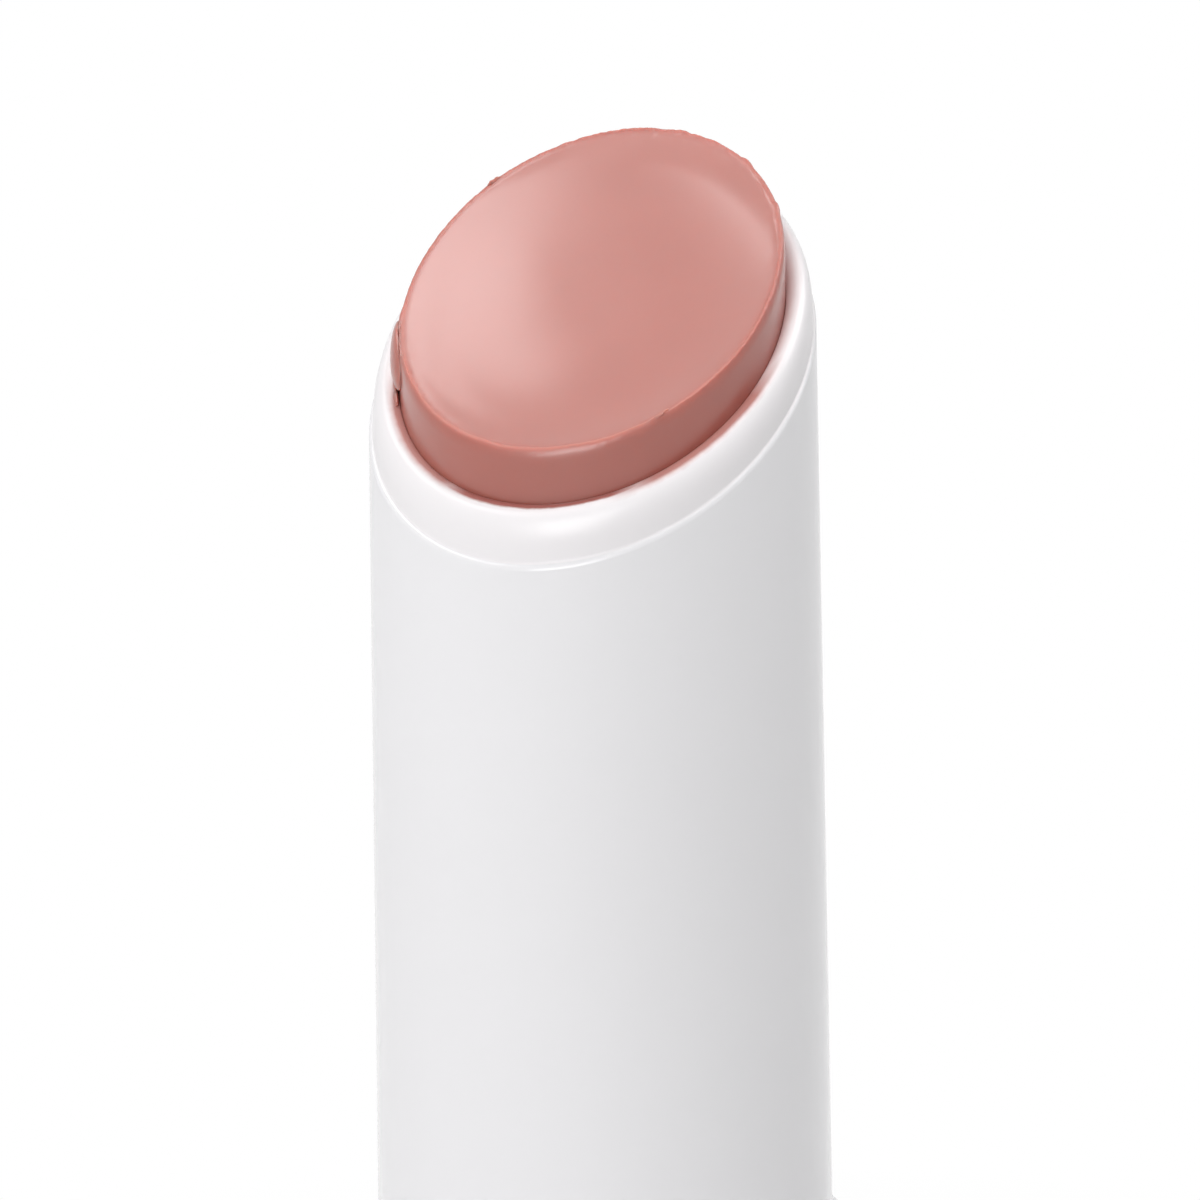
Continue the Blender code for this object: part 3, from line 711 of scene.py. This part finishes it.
@operator
class MakeMouthLiner(Operator):
    """Models the liner, whose full-round lip stands above the shell's edge"""

    bl_idname = "object.tint_stick_mouth_liner"
    bl_label = "Mouth Liner"

    def execute(self, context):
        s = sizes()
        foot = LINER_BOX[0].z
        apex = s.liner_bore + s.lip_inner_round
        side = SHELL_TOP + s.lip_flat
        outside = s.liner_bore + s.liner_wall
        wiper = LIP_TOP - s.wiper_drop
        taper = wiper - 2 * (s.liner_bore - s.wiper_radius)
        outline = [(s.liner_bore, foot)] + [(s.liner_bore, taper - drop) for drop in BORE_RINGS]
        outline += [(s.wiper_radius, wiper - s.edge_round / 4)]
        reach = (apex - s.wiper_radius) / math.cos(math.radians(WIPER_OPEN))
        drop = s.wiper_drop / (1 - math.sin(math.radians(WIPER_OPEN)))
        outline += arc((apex, LIP_TOP - drop), (reach, drop), 180 - WIPER_OPEN, 90, 14)
        outline += arc((apex, side), (s.lip_radius - apex, LIP_TOP - side), 90, 0, 24)[1:]
        fillet = s.shell_edge / 2
        outline += arc((s.lip_radius + fillet, SHELL_TOP + fillet), (fillet,) * 2, 180, 235, 5)
        buried = SHELL_TOP - fillet / 2
        outline += [(s.lip_radius + fillet, buried), (outside, buried), (outside, foot)]
        piece = turned("mouth_liner", outline, staging().segments)
        slant(piece, (foot + SHELL_TOP) / 2)
        smooth(piece, 40.0)
        material = stained_plastic("liner_white_stained", finish().liner_white, roughness=0.3)
        dressed(piece, "barrel", material, "liner_white", "inner_sleeve")
        return {"FINISHED"}


WALL_RINGS = 10
SHOULDER_RING_SHARES = (1.5, 0.75, 0.35)
FLASH_ARC = (108, 162)
BORDER_RINGS = 4
DISH_RINGS = 26
DISH_RING_POWER = 1.3
DISH_POWER = 2.8
DISH_TURN = math.radians(-84.0)
DISH_STRETCH = 1.043
SOFT_SHARE = 0.9
SOFT_PASSES = 60
# Each pull on the dish's edge: name, angle and half arc in degrees, reach
DISH_PULLS = (
    ("right_pull", 27.0, 38.0, 0.00020),
    ("left_pull", 163.0, 48.0, 0.00030),
    ("front_pull", -68.0, 80.0, 0.00010),
)
# The rise in the dish: its angle and half arc in degrees, and its top's radius and height
RISE_ARC = (-138.0, 80.0)
RISE_RADIUS = 0.0044
RISE_HEIGHT = 0.00012
# The rim's smooth stretch: angle and half arc in degrees
CALM_RIM = (-100.0, 75.0)
CALM_SHARE = 0.7
RIM_SPREAD_SHARE = 2.2
# Each roughening of the rim: name, vertex group, size, strength, axis
RIM_CLOUDS = (
    ("fine_nicks", "rim", 0.00017, 0.00006, "Z"),
    ("torn_edge", "rim", 0.00045, 0.00004, "Z"),
    ("flash_outline", "rim", 0.0002, 0.00005, "X"),
    ("flash_depth", "rim", 0.00022, 0.00005, "Y"),
    ("uneven_border", "border", 0.0012, 0.00005, "Z"),
    ("slow_rim", "border", 0.0032, 0.00006, "Z"),
)
# Each burr: angle in degrees, how far it is drawn out and up, how far round it the wax follows
BURRS = (
    (85.7, 0.00002, 0.00003, 0.00025),
    (59.2, 0.00004, 0.00003, 0.00030),
    (38.1, 0.00005, 0.00002, 0.00028),
    (-31.0, 0.00003, 0.00002, 0.00034),
    (-46.0, 0.00003, 0.00002, 0.00040),
    (-149.5, 0.00007, 0.00000, 0.00050),
    (-155.0, 0.00008, 0.00000, 0.00050),
    (-160.5, 0.00007, 0.00000, 0.00050),
)


@operator
class MakeTintBullet(Operator):
    """Models the tint: a dished slanted face with a ragged flash, and a smooth moulded side"""

    bl_idname = "object.tint_stick_bullet"
    bl_label = "Tint Bullet"

    def execute(self, context):
        s = sizes()
        foot = CUP_BOX[1].z + s.edge_round
        face = FACE_TOP - s.face_sink
        low = face - s.bullet_radius * 2
        shoulder = face - s.shoulder_height
        crest = s.bullet_radius - s.shoulder_width
        outline = [(0, foot), (s.bullet_radius - s.edge_round, foot), (s.bullet_radius, foot + s.edge_round)]
        outline += [(s.bullet_radius, low + (shoulder - low) * i / WALL_RINGS) for i in range(WALL_RINGS)]
        outline += [(s.bullet_radius, shoulder - s.edge_round * part) for part in SHOULDER_RING_SHARES]
        outline += arc((crest, shoulder), (s.shoulder_width, s.shoulder_height), 0, 90, 12)
        outline += arc((crest, face - s.flash_height), (s.flash_width, s.flash_height), *FLASH_ARC, 3)
        outline += self.dish(crest - s.flash_width, face)
        piece = turned("tint_bullet", outline, 3 * staging().segments, closed=False)
        self.settle(piece, face)
        self.roughen(piece, crest, face)
        slant(piece, (foot + low) / 2)
        smooth(piece, 60.0)
        dressed(piece, "carriage", wax("tint_wax"), "tint", "bullet")
        return {"FINISHED"}

    def dish(self, outer, face):
        """The flat border inside the flash, then the dish, whose slope grows towards its edge."""
        s = sizes()
        edge = outer - s.border_width
        border = face - s.flash_height
        points = [
            (outer - s.border_width * i / BORDER_RINGS, border + s.flash_height * i / (3 * BORDER_RINGS))
            for i in range(1, BORDER_RINGS + 1)
        ]
        top = points[-1][1]
        for i in range(1, DISH_RINGS + 1):
            radius = edge * (1 - (i / DISH_RINGS) ** DISH_RING_POWER)
            depth = s.dish_depth * (1 - (radius / edge) ** DISH_POWER)
            points.append((radius, top - depth))
        return points

    def settle(self, piece, face):
        """Draws the dish towards the low side and stretches it sideways, so that its border is uneven."""
        s = sizes()
        edge = s.bullet_radius - s.shoulder_width - s.flash_width - s.border_width
        below = face - 2 * s.dish_depth

        def softness(point):
            """1 on the dish's edge, less and less beside it."""
            off = abs(off_axis(point) - edge) / (SOFT_SHARE * s.border_width)
            return math.cos(off * math.pi / 2) if off < 1 and point.z > below else None

        def pull(point, angle, half):
            """1 on the dish's edge at an angle, falling away round it, inwards and outwards."""
            radius, off = off_axis(point), turned_from(point, angle, half)
            if point.z < below or radius > edge + s.border_width or off >= 1:
                return None
            inward = min(radius / edge, (edge + s.border_width - radius) / s.border_width)
            return inward ** 2 * math.cos(off * math.pi / 2) ** 2

        def rise(point):
            """1 on the top of the dish's rise, falling away on all sides."""
            radius, off = off_axis(point), turned_from(point, *RISE_ARC)
            if off >= 1 or radius >= edge or point.z <= below:
                return None
            inner = radius < RISE_RADIUS
            part = radius / RISE_RADIUS if inner else (edge - radius) / (edge - RISE_RADIUS)
            return (math.sin(part * math.pi / 2) * math.cos(off * math.pi / 2)) ** 2

        weigh(piece, "soft_edge", softness)
        for name, angle, half, _ in DISH_PULLS:
            weigh(piece, name, lambda point: pull(point, angle, half))
        weigh(piece, "left_rise", rise)
        push(piece, "left_rise", "Z", RISE_HEIGHT)
        edit(piece)
        pick(piece.data.vertices, lambda v: v.co.z > below and off_axis(v.co) < edge + WELD)
        falloff = {
            "use_proportional_edit": True, "use_proportional_connected": True,
            "proportional_edit_falloff": "LINEAR", "proportional_size": s.border_width,
        }
        shift = (s.dish_shift * math.cos(DISH_TURN), s.dish_shift * math.sin(DISH_TURN), 0)
        bpy.ops.transform.resize(value=(DISH_STRETCH, 1, 1), center_override=(0, 0, face), **falloff)
        bpy.ops.transform.translate(value=shift, **falloff)
        bpy.ops.object.mode_set(mode="OBJECT")
        for name, angle, _, reach in DISH_PULLS:
            push(piece, name, "X", reach * math.cos(math.radians(angle)))
            push(piece, name, "Y", reach * math.sin(math.radians(angle)))
        apply(piece, "SMOOTH", "soft_edge", vertex_group="soft_edge", factor=0.5, iterations=SOFT_PASSES)

    def roughen(self, piece, crest, face):
        """Makes the flash ragged with cloud displacements, then pulls up the burrs one by one."""
        s = sizes()

        def nearness(point, spread):
            """1 at the crest, 0 past a spread from it, and None below the shoulder."""
            if point.z < face - s.shoulder_height:
                return None
            return max(0.0, 1 - abs(off_axis(point) - crest) / spread)

        def rim(point):
            """The nearness to the crest, less where the rim is smooth."""
            near = nearness(point, RIM_SPREAD_SHARE * s.flash_width)
            calm = math.cos(min(1, turned_from(point, *CALM_RIM)) * math.pi / 2) ** 2
            return None if near is None else near * (1 - CALM_SHARE * calm)

        weigh(piece, "rim", rim)
        weigh(piece, "border", lambda point: nearness(point, s.flash_width + s.border_width))
        for row in RIM_CLOUDS:
            clouds(piece, *row)
        for angle, out, up, reach in BURRS:
            turn = math.radians(angle)
            spot = Vector((crest * math.cos(turn), crest * math.sin(turn), face))
            edit(piece)
            pick(piece.data.vertices, lambda v: (v.co - spot).length < reach / 3)
            bpy.ops.transform.translate(
                value=(out * math.cos(turn), out * math.sin(turn), up), use_proportional_edit=True,
                proportional_edit_falloff="SMOOTH", proportional_size=reach,
            )
        bpy.ops.object.mode_set(mode="OBJECT")
        piece.vertex_groups.clear()


def push(piece, group, axis, strength):
    """Moves a group of vertices along an axis, and applies it."""
    apply(piece, "DISPLACE", group, vertex_group=group, direction=axis, strength=strength, mid_level=0.0)


def clouds(piece, name, group, size, strength, axis):
    """Displaces a group of vertices by a cloud texture, along an axis, and applies it."""
    texture = bpy.data.textures.new(name, "CLOUDS")
    texture.noise_scale = size
    texture.noise_depth = 1
    apply(piece, "DISPLACE", name, texture=texture, vertex_group=group, strength=strength, mid_level=0.5,
          direction=axis, texture_coords="LOCAL")


LUMP_CLOUD_SHARE = 0.3


def lump(name, angle, radius, level, size, roughness=0.5, flat=None):
    """A torn bit of tint on the slanted mouth: an icosphere, flattened, bent round and roughened."""
    clear_selection()
    bpy.ops.mesh.primitive_ico_sphere_add(subdivisions=5, radius=max(size) / 2, location=(0, 0, 0))
    piece = bpy.context.object
    piece.name = name
    piece.scale = [part / max(size) for part in size]
    apply_place()
    for vertex in piece.data.vertices:
        if flat is not None:
            vertex.co.x = max(vertex.co.x, flat)
        vertex.co.x -= vertex.co.y ** 2 / (2 * radius)
    for axis in "XYZ":
        cloud_size = max(size) * LUMP_CLOUD_SHARE
        clouds(piece, f"{name}_{axis.lower()}", "", cloud_size, min(size) * roughness, axis)
    piece.location = (radius, 0, level)
    apply_place()
    piece.rotation_euler = (0, 0, math.radians(angle))
    apply_place()
    for vertex in piece.data.vertices:
        vertex.co.z += SLOPE * vertex.co.y
    return smooth(piece, 60.0)


def joined(name, pieces):
    """Joins pieces into one object."""
    activate(pieces[0])
    for piece in pieces[1:]:
        piece.select_set(True)
    bpy.ops.object.join()
    pieces[0].name = name
    return pieces[0]


# Each crumb: angle in degrees, how far out and up from the rim's crest, and its size
RIM_CRUMBS = (
    (146.0, 0.00000, -0.00001, (0.00013, 0.00050, 0.00013)),
    (8.9, 0.00002, -0.00016, (0.00010, 0.00026, 0.00030)),
    (-42.5, 0.00001, 0.00001, (0.00008, 0.00024, 0.00007)),
    (-45.0, 0.00003, -0.00002, (0.00010, 0.00040, 0.00012)),
    (-47.5, 0.00002, -0.00008, (0.00012, 0.00034, 0.00014)),
    (-58.0, 0.00001, -0.00012, (0.00010, 0.00026, 0.00014)),
    (-155.5, 0.00003, -0.00020, (0.00013, 0.00140, 0.00030)),
    (-147.0, 0.00007, -0.00010, (0.00010, 0.00030, 0.00016)),
    (-149.5, 0.00007, -0.00024, (0.00010, 0.00024, 0.00018)),
)


@operator
class MakeTintCrumbs(Operator):
    """Models the crumbs that a cut edge leaves on the tint's rim"""

    bl_idname = "object.tint_stick_crumbs"
    bl_label = "Tint Crumbs"

    def execute(self, context):
        crest = sizes().bullet_radius - sizes().shoulder_width
        face = FACE_TOP - sizes().face_sink
        crumbs = [
            lump(f"crumb_{i}", angle, crest + out, face + up, size)
            for i, (angle, out, up, size) in enumerate(RIM_CRUMBS)
        ]
        dressed(joined("tint_crumbs", crumbs), "carriage", wax("tint_wax_crumbs"), "tint")
        return {"FINISHED"}


TONGUE_TURN = -154.5
# How far out from the bore and up from the lip's top the tongue's middle lies
TONGUE_PLACE = (-0.00021, 0.00096)
TONGUE_SIZE = (0.00054, 0.0021, 0.0017)
# Each foot of the tongue: angle in degrees, how far out from the bore and up from the lip's top, and size
TONGUE_FEET = (
    (-155.0, -0.00009, 0.00006, (0.00016, 0.00130, 0.00050)),
    (-150.0, -0.00009, 0.00002, (0.00016, 0.00080, 0.00030)),
)


@operator
class MakeTintResidue(Operator):
    """Models the tint rubbed off on the mouth: a torn tongue of it at the left, and its feet on the lip"""

    bl_idname = "object.tint_stick_residue"
    bl_label = "Tint Residue"

    def execute(self, context):
        bore = sizes().liner_bore
        feet = [
            lump(f"tongue_foot_{i}", angle, bore + out, LIP_TOP + up, size, 0.25)
            for i, (angle, out, up, size) in enumerate(TONGUE_FEET)
        ]
        out, up = TONGUE_PLACE
        tongue = lump("tint_tongue", TONGUE_TURN, bore + out, LIP_TOP + up, TONGUE_SIZE, 0.03, flat=0.0)
        dressed(joined("tint_tongue", [tongue] + feet), "barrel", wax("tint_wax_tongue"), "tint")
        return {"FINISHED"}


@operator
class MakeCollar(Operator):
    """Models the band at the shell's foot, with the groove for the cap's ring"""

    bl_idname = "object.tint_stick_collar"
    bl_label = "Collar"

    def execute(self, context):
        s = sizes()
        radius, bottom, top = COLLAR_BOX[1].x, COLLAR_BOX[0].z, COLLAR_BOX[1].z
        groove = (RING_BOX[1].z - RING_BOX[0].z) / 2 + s.shell_edge / 2
        middle = (RING_BOX[0].z + RING_BOX[1].z) / 2
        depth = RING_BOX[1].x - 2 * groove
        inner = SHELL_BOX[1].x + s.shell_edge / 2
        liner = s.liner_bore + s.liner_wall + s.shell_edge / 2
        ledge = SHELL_BOX[0].z - s.shell_edge / 2
        small = s.edge_round / 2
        outline = [(inner, top - small), (inner + small, top)]
        outline += arc((radius - s.edge_round, top - s.edge_round), (s.edge_round,) * 2, 90, 0, 6)
        outline += arc((radius - small, middle + groove + small), (small,) * 2, 0, -90, 4)
        outline += [(depth, middle + groove), (depth, middle - groove)]
        outline += arc((radius - small, middle - groove - small), (small,) * 2, 90, 0, 4)
        outline += [(radius, bottom), (liner, bottom), (liner, ledge), (inner, ledge)]
        piece = smooth(turned("collar_band", outline, staging().segments))
        material = gloss_plastic("gloss_white_collar", finish().shell_white, roughness=0.2)
        dressed(piece, "barrel", material, "gloss_white", "collar")
        return {"FINISHED"}


@operator
class MakeCapRing(Operator):
    """Models the soft ring that a cap holds on to"""

    bl_idname = "object.tint_stick_cap_ring"
    bl_label = "Cap Ring"

    def execute(self, context):
        half = (RING_BOX[1].z - RING_BOX[0].z) / 2
        clear_selection()
        bpy.ops.mesh.primitive_torus_add(
            major_radius=RING_BOX[1].x - half, minor_radius=half, major_segments=staging().segments,
            minor_segments=24, location=(0, 0, RING_BOX[0].z + half),
        )
        apply_place()
        piece = bpy.context.object
        piece.name = "cap_ring"
        smooth(piece)
        material = plain_moulding("silicone_grey", finish().silicone, roughness=0.45)
        dressed(piece, "barrel", material, "silicone", "cap_grip_ring")
        return {"FINISHED"}


@operator
class MakeBaseGrip(Operator):
    """Models the glossy base that is turned to raise the tint"""

    bl_idname = "object.tint_stick_base_grip"
    bl_label = "Base Grip"

    def execute(self, context):
        s = sizes()
        radius, top = BASE_BOX[1].x, BASE_BOX[1].z
        bore = DISC_BOX[1].x + s.shell_edge / 2
        lip = DISC_BOX[0].z - s.shell_edge / 2
        mouth = LABEL_BOX[1].x + s.foot_round
        small = s.edge_round / 2
        outline = [(bore, top - small), (bore + small, top)]
        outline += arc((radius - s.edge_round, top - s.edge_round), (s.edge_round,) * 2, 90, 0, 6)
        outline += arc((radius - s.foot_round, s.foot_round), (s.foot_round,) * 2, 0, -90, 12)
        outline += [(mouth + small, 0), (mouth, small), (mouth, lip), (bore, lip)]
        piece = smooth(turned("base_grip", outline, staging().segments))
        material = gloss_plastic("gloss_white_base", finish().shell_white, finish().shell_roughness)
        dressed(piece, "drive", material, "gloss_white", "base_shell")
        return {"FINISHED"}


@operator
class MakeBottom(Operator):
    """Models the disc that closes the base, and the blank label under it"""

    bl_idname = "object.tint_stick_bottom"
    bl_label = "Bottom Disc and Label"

    def execute(self, context):
        s = sizes()
        disc = cylinder("closing_disc", DISC_BOX[1].x, DISC_BOX[0].z, DISC_BOX[1].z)
        apply(disc, "BEVEL", "edges", width=s.shell_edge, segments=3, limit_method="ANGLE")
        smooth(disc)
        material = gloss_plastic("gloss_white_disc", finish().shell_white, roughness=0.24)
        dressed(disc, "drive", material, "gloss_white", "bottom_disc")
        label = cylinder("blank_label", LABEL_BOX[1].x, LABEL_BOX[0].z, LABEL_BOX[1].z)
        apply(label, "BEVEL", "edges", width=s.shell_edge / 4, segments=2, limit_method="ANGLE")
        smooth(label)
        dressed(label, "drive", paper("label_paper_blank"), "label_paper", "shade_label")
        return {"FINISHED"}


@operator
class FinishInnerPieces(Operator):
    """Gives the pieces inside the stick their materials"""

    bl_idname = "object.tint_stick_inner_pieces"
    bl_label = "Inner Pieces"

    def execute(self, context):
        natural = plain_moulding("natural_acetal", finish().natural, roughness=0.42)
        rubbery = plain_moulding("silicone_clear", finish().silicone, roughness=0.5)
        for names, material in (
            (("bullet_cup", "lead_nut", "lead_screw", "thrust_washer", "base_core"), natural),
            (("drag_ring",), rubbery),
            (("base_weight",), turned_steel("turned_steel")),
        ):
            for name in names:
                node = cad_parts[name]
                node.data.materials.clear()
                node.data.materials.append(material)
        return {"FINISHED"}


FLOOR_FACETS = 128
FLOOR_RADIUS = 1.2
FLOOR_COLOUR = (0.88, 0.88, 0.88)
FLOOR_ROUGHNESS = 0.9
FLOOR_FADE = (0.04, 0.085)
FLOOR_GLOW = 0.3
WORLD_COLOUR = (1.0, 0.995, 1.0)
WORLD_LEVELS = (0.117, 0.10)
WORLD_SLOPE = -0.063
SENSOR_WIDTH = 36.0
NEAR_CLIP = 0.01
FAR_CLIP = 10.0
# Each lamp: name, turn from the camera and height in degrees, distance, width, tallness, power, and roll
LAMPS = (
    ("top_softbox", 172.0, 85.0, 0.35, 0.20, 0.23, 0.52, 0.0),
    ("front_left_softbox", -21.0, 20.0, 0.60, 0.30, 0.30, 1.75, 0.0),
    ("left_strip", -99.0, 50.0, 0.50, 0.38, 0.13, 0.74, 23.0),
    ("right_softbox", 108.0, 52.0, 0.50, 0.24, 0.24, 1.01, 0.0),
    ("back_right_softbox", 130.0, 32.0, 0.50, 0.22, 0.22, 0.16, 0.0),
)


def direction(azimuth, rise):
    """The unit vector towards a turn from the low side of the mouth and an angle above the horizon."""
    level = math.cos(rise)
    return Vector((math.sin(azimuth) * level, -math.cos(azimuth) * level, math.sin(rise)))


@operator
class MakeStage(Operator):
    """Sets up the floor, the soft lamps, the surroundings and the camera"""

    bl_idname = "object.tint_stick_stage"
    bl_label = "Stage"

    def execute(self, context):
        self.floor()
        self.surroundings()
        for lamp in LAMPS:
            self.lamp(*lamp)
        self.camera()
        context.scene.view_settings.view_transform = "Standard"
        return {"FINISHED"}

    def floor(self):
        """A pale plain floor that fades to white away from the stick."""
        clear_selection()
        bpy.ops.mesh.primitive_circle_add(
            vertices=FLOOR_FACETS, radius=FLOOR_RADIUS, fill_type="NGON", location=(0, 0, 0)
        )
        floor = bpy.context.object
        floor.name = "floor"
        tree = Tree(bpy.data.materials.new("floor_paper"))
        away = tree.add("ShaderNodeVectorMath", {"operation": "LENGTH"})
        tree.set(away, "0", tree.place)
        fade = tree.ramp(away.outputs["Value"], FLOOR_GLOW, 1.0, *FLOOR_FADE)
        glow = tree.add("ShaderNodeEmission")
        tree.cover(tree.math("MULTIPLY", tree.seen(), fade), glow, "Material Output")
        floor.data.materials.append(tree.finish(Base_Color=FLOOR_COLOUR, Roughness=FLOOR_ROUGHNESS))

    def surroundings(self):
        """Soft light that falls off upwards and to one side, behind a plain white background."""
        world = bpy.data.worlds.new("studio")
        bpy.context.scene.world = world
        tree = Tree(world, "Background", "Generated")
        height = tree.add("ShaderNodeSeparateXYZ", Vector=tree.place).outputs["Z"]
        level = tree.ramp(height, *WORLD_LEVELS)
        aside = tree.add("ShaderNodeVectorMath", {"operation": "DOT_PRODUCT"})
        tree.set(aside, "0", tree.place)
        tree.set(aside, "1", (math.cos(staging().azimuth), math.sin(staging().azimuth), 0))
        slope = tree.math("MULTIPLY_ADD", aside.outputs["Value"], WORLD_SLOPE, level)
        tree.finish(Color=WORLD_COLOUR, Strength=slope)
        white = tree.add("ShaderNodeBackground", Color=(1, 1, 1))
        tree.cover(tree.seen(), white, "World Output")

    def lamp(self, name, turn, height, distance, width, tall, power, roll):
        """A rectangular soft lamp that looks at the stick's mouth."""
        away = direction(staging().azimuth + math.radians(turn), math.radians(height))
        facing = away.to_track_quat("Z", "Y").to_matrix() @ Matrix.Rotation(math.radians(roll), 3, "Z")
        place = Vector((0, 0, LIP_TOP)) + away * distance
        clear_selection()
        bpy.ops.object.light_add(type="AREA", location=place, rotation=facing.to_euler())
        lamp = bpy.context.object
        lamp.name = name
        lamp.data.shape = "RECTANGLE"
        lamp.data.size = width
        lamp.data.size_y = tall
        lamp.data.energy = power

    def camera(self):
        """The camera, as it stood for the photograph."""
        view = staging()
        back = direction(view.azimuth, view.elevation)
        right = Vector((math.cos(view.azimuth), math.sin(view.azimuth), 0))
        up = back.cross(right)
        across = math.cos(view.roll) * right + math.sin(view.roll) * up
        upright = math.cos(view.roll) * up - math.sin(view.roll) * right
        target = Vector((0, 0, LIP_TOP - view.target_drop)) + right * view.target_shift
        turned_to = Matrix((across, upright, back)).transposed().to_euler()
        clear_selection()
        bpy.ops.object.camera_add(location=target + back * view.distance, rotation=turned_to)
        camera = bpy.context.object
        camera.data.sensor_width = SENSOR_WIDTH
        camera.data.lens = view.lens
        camera.data.clip_start = NEAR_CLIP
        camera.data.clip_end = FAR_CLIP
        bpy.context.scene.camera = camera


class TintStickPanel(Panel):
    """Lists the stick's pieces and its sizes in the 3D view's sidebar"""

    bl_idname = "VIEW3D_PT_tint_stick"
    bl_label = "Tint Stick"
    bl_space_type = "VIEW_3D"
    bl_region_type = "UI"
    bl_category = "Tint Stick"

    def draw(self, context):
        for maker in MAKERS:
            self.layout.operator(maker.bl_idname)
        for group in (sizes(), finish(), staging()):
            box = self.layout.box()
            for name in group.__annotations__:
                box.prop(group, name)


MAKERS = [cls for cls in CLASSES if issubclass(cls, Operator)]
CLASSES.append(TintStickPanel)


def register():
    for cls in CLASSES:
        bpy.utils.register_class(cls)
    bpy.types.Scene.tint_stick_sizes = PointerProperty(type=TintStickSizes)
    bpy.types.Scene.tint_stick_finish = PointerProperty(type=TintStickFinish)
    bpy.types.Scene.tint_stick_stage = PointerProperty(type=TintStickStage)


def unregister():
    del bpy.types.Scene.tint_stick_sizes
    del bpy.types.Scene.tint_stick_finish
    del bpy.types.Scene.tint_stick_stage
    for cls in reversed(CLASSES):
        bpy.utils.unregister_class(cls)


def main():
    register()
    for maker in MAKERS:
        group, name = maker.bl_idname.split(".")
        getattr(getattr(bpy.ops, group), name)()


if __name__ == "__main__":
    main()
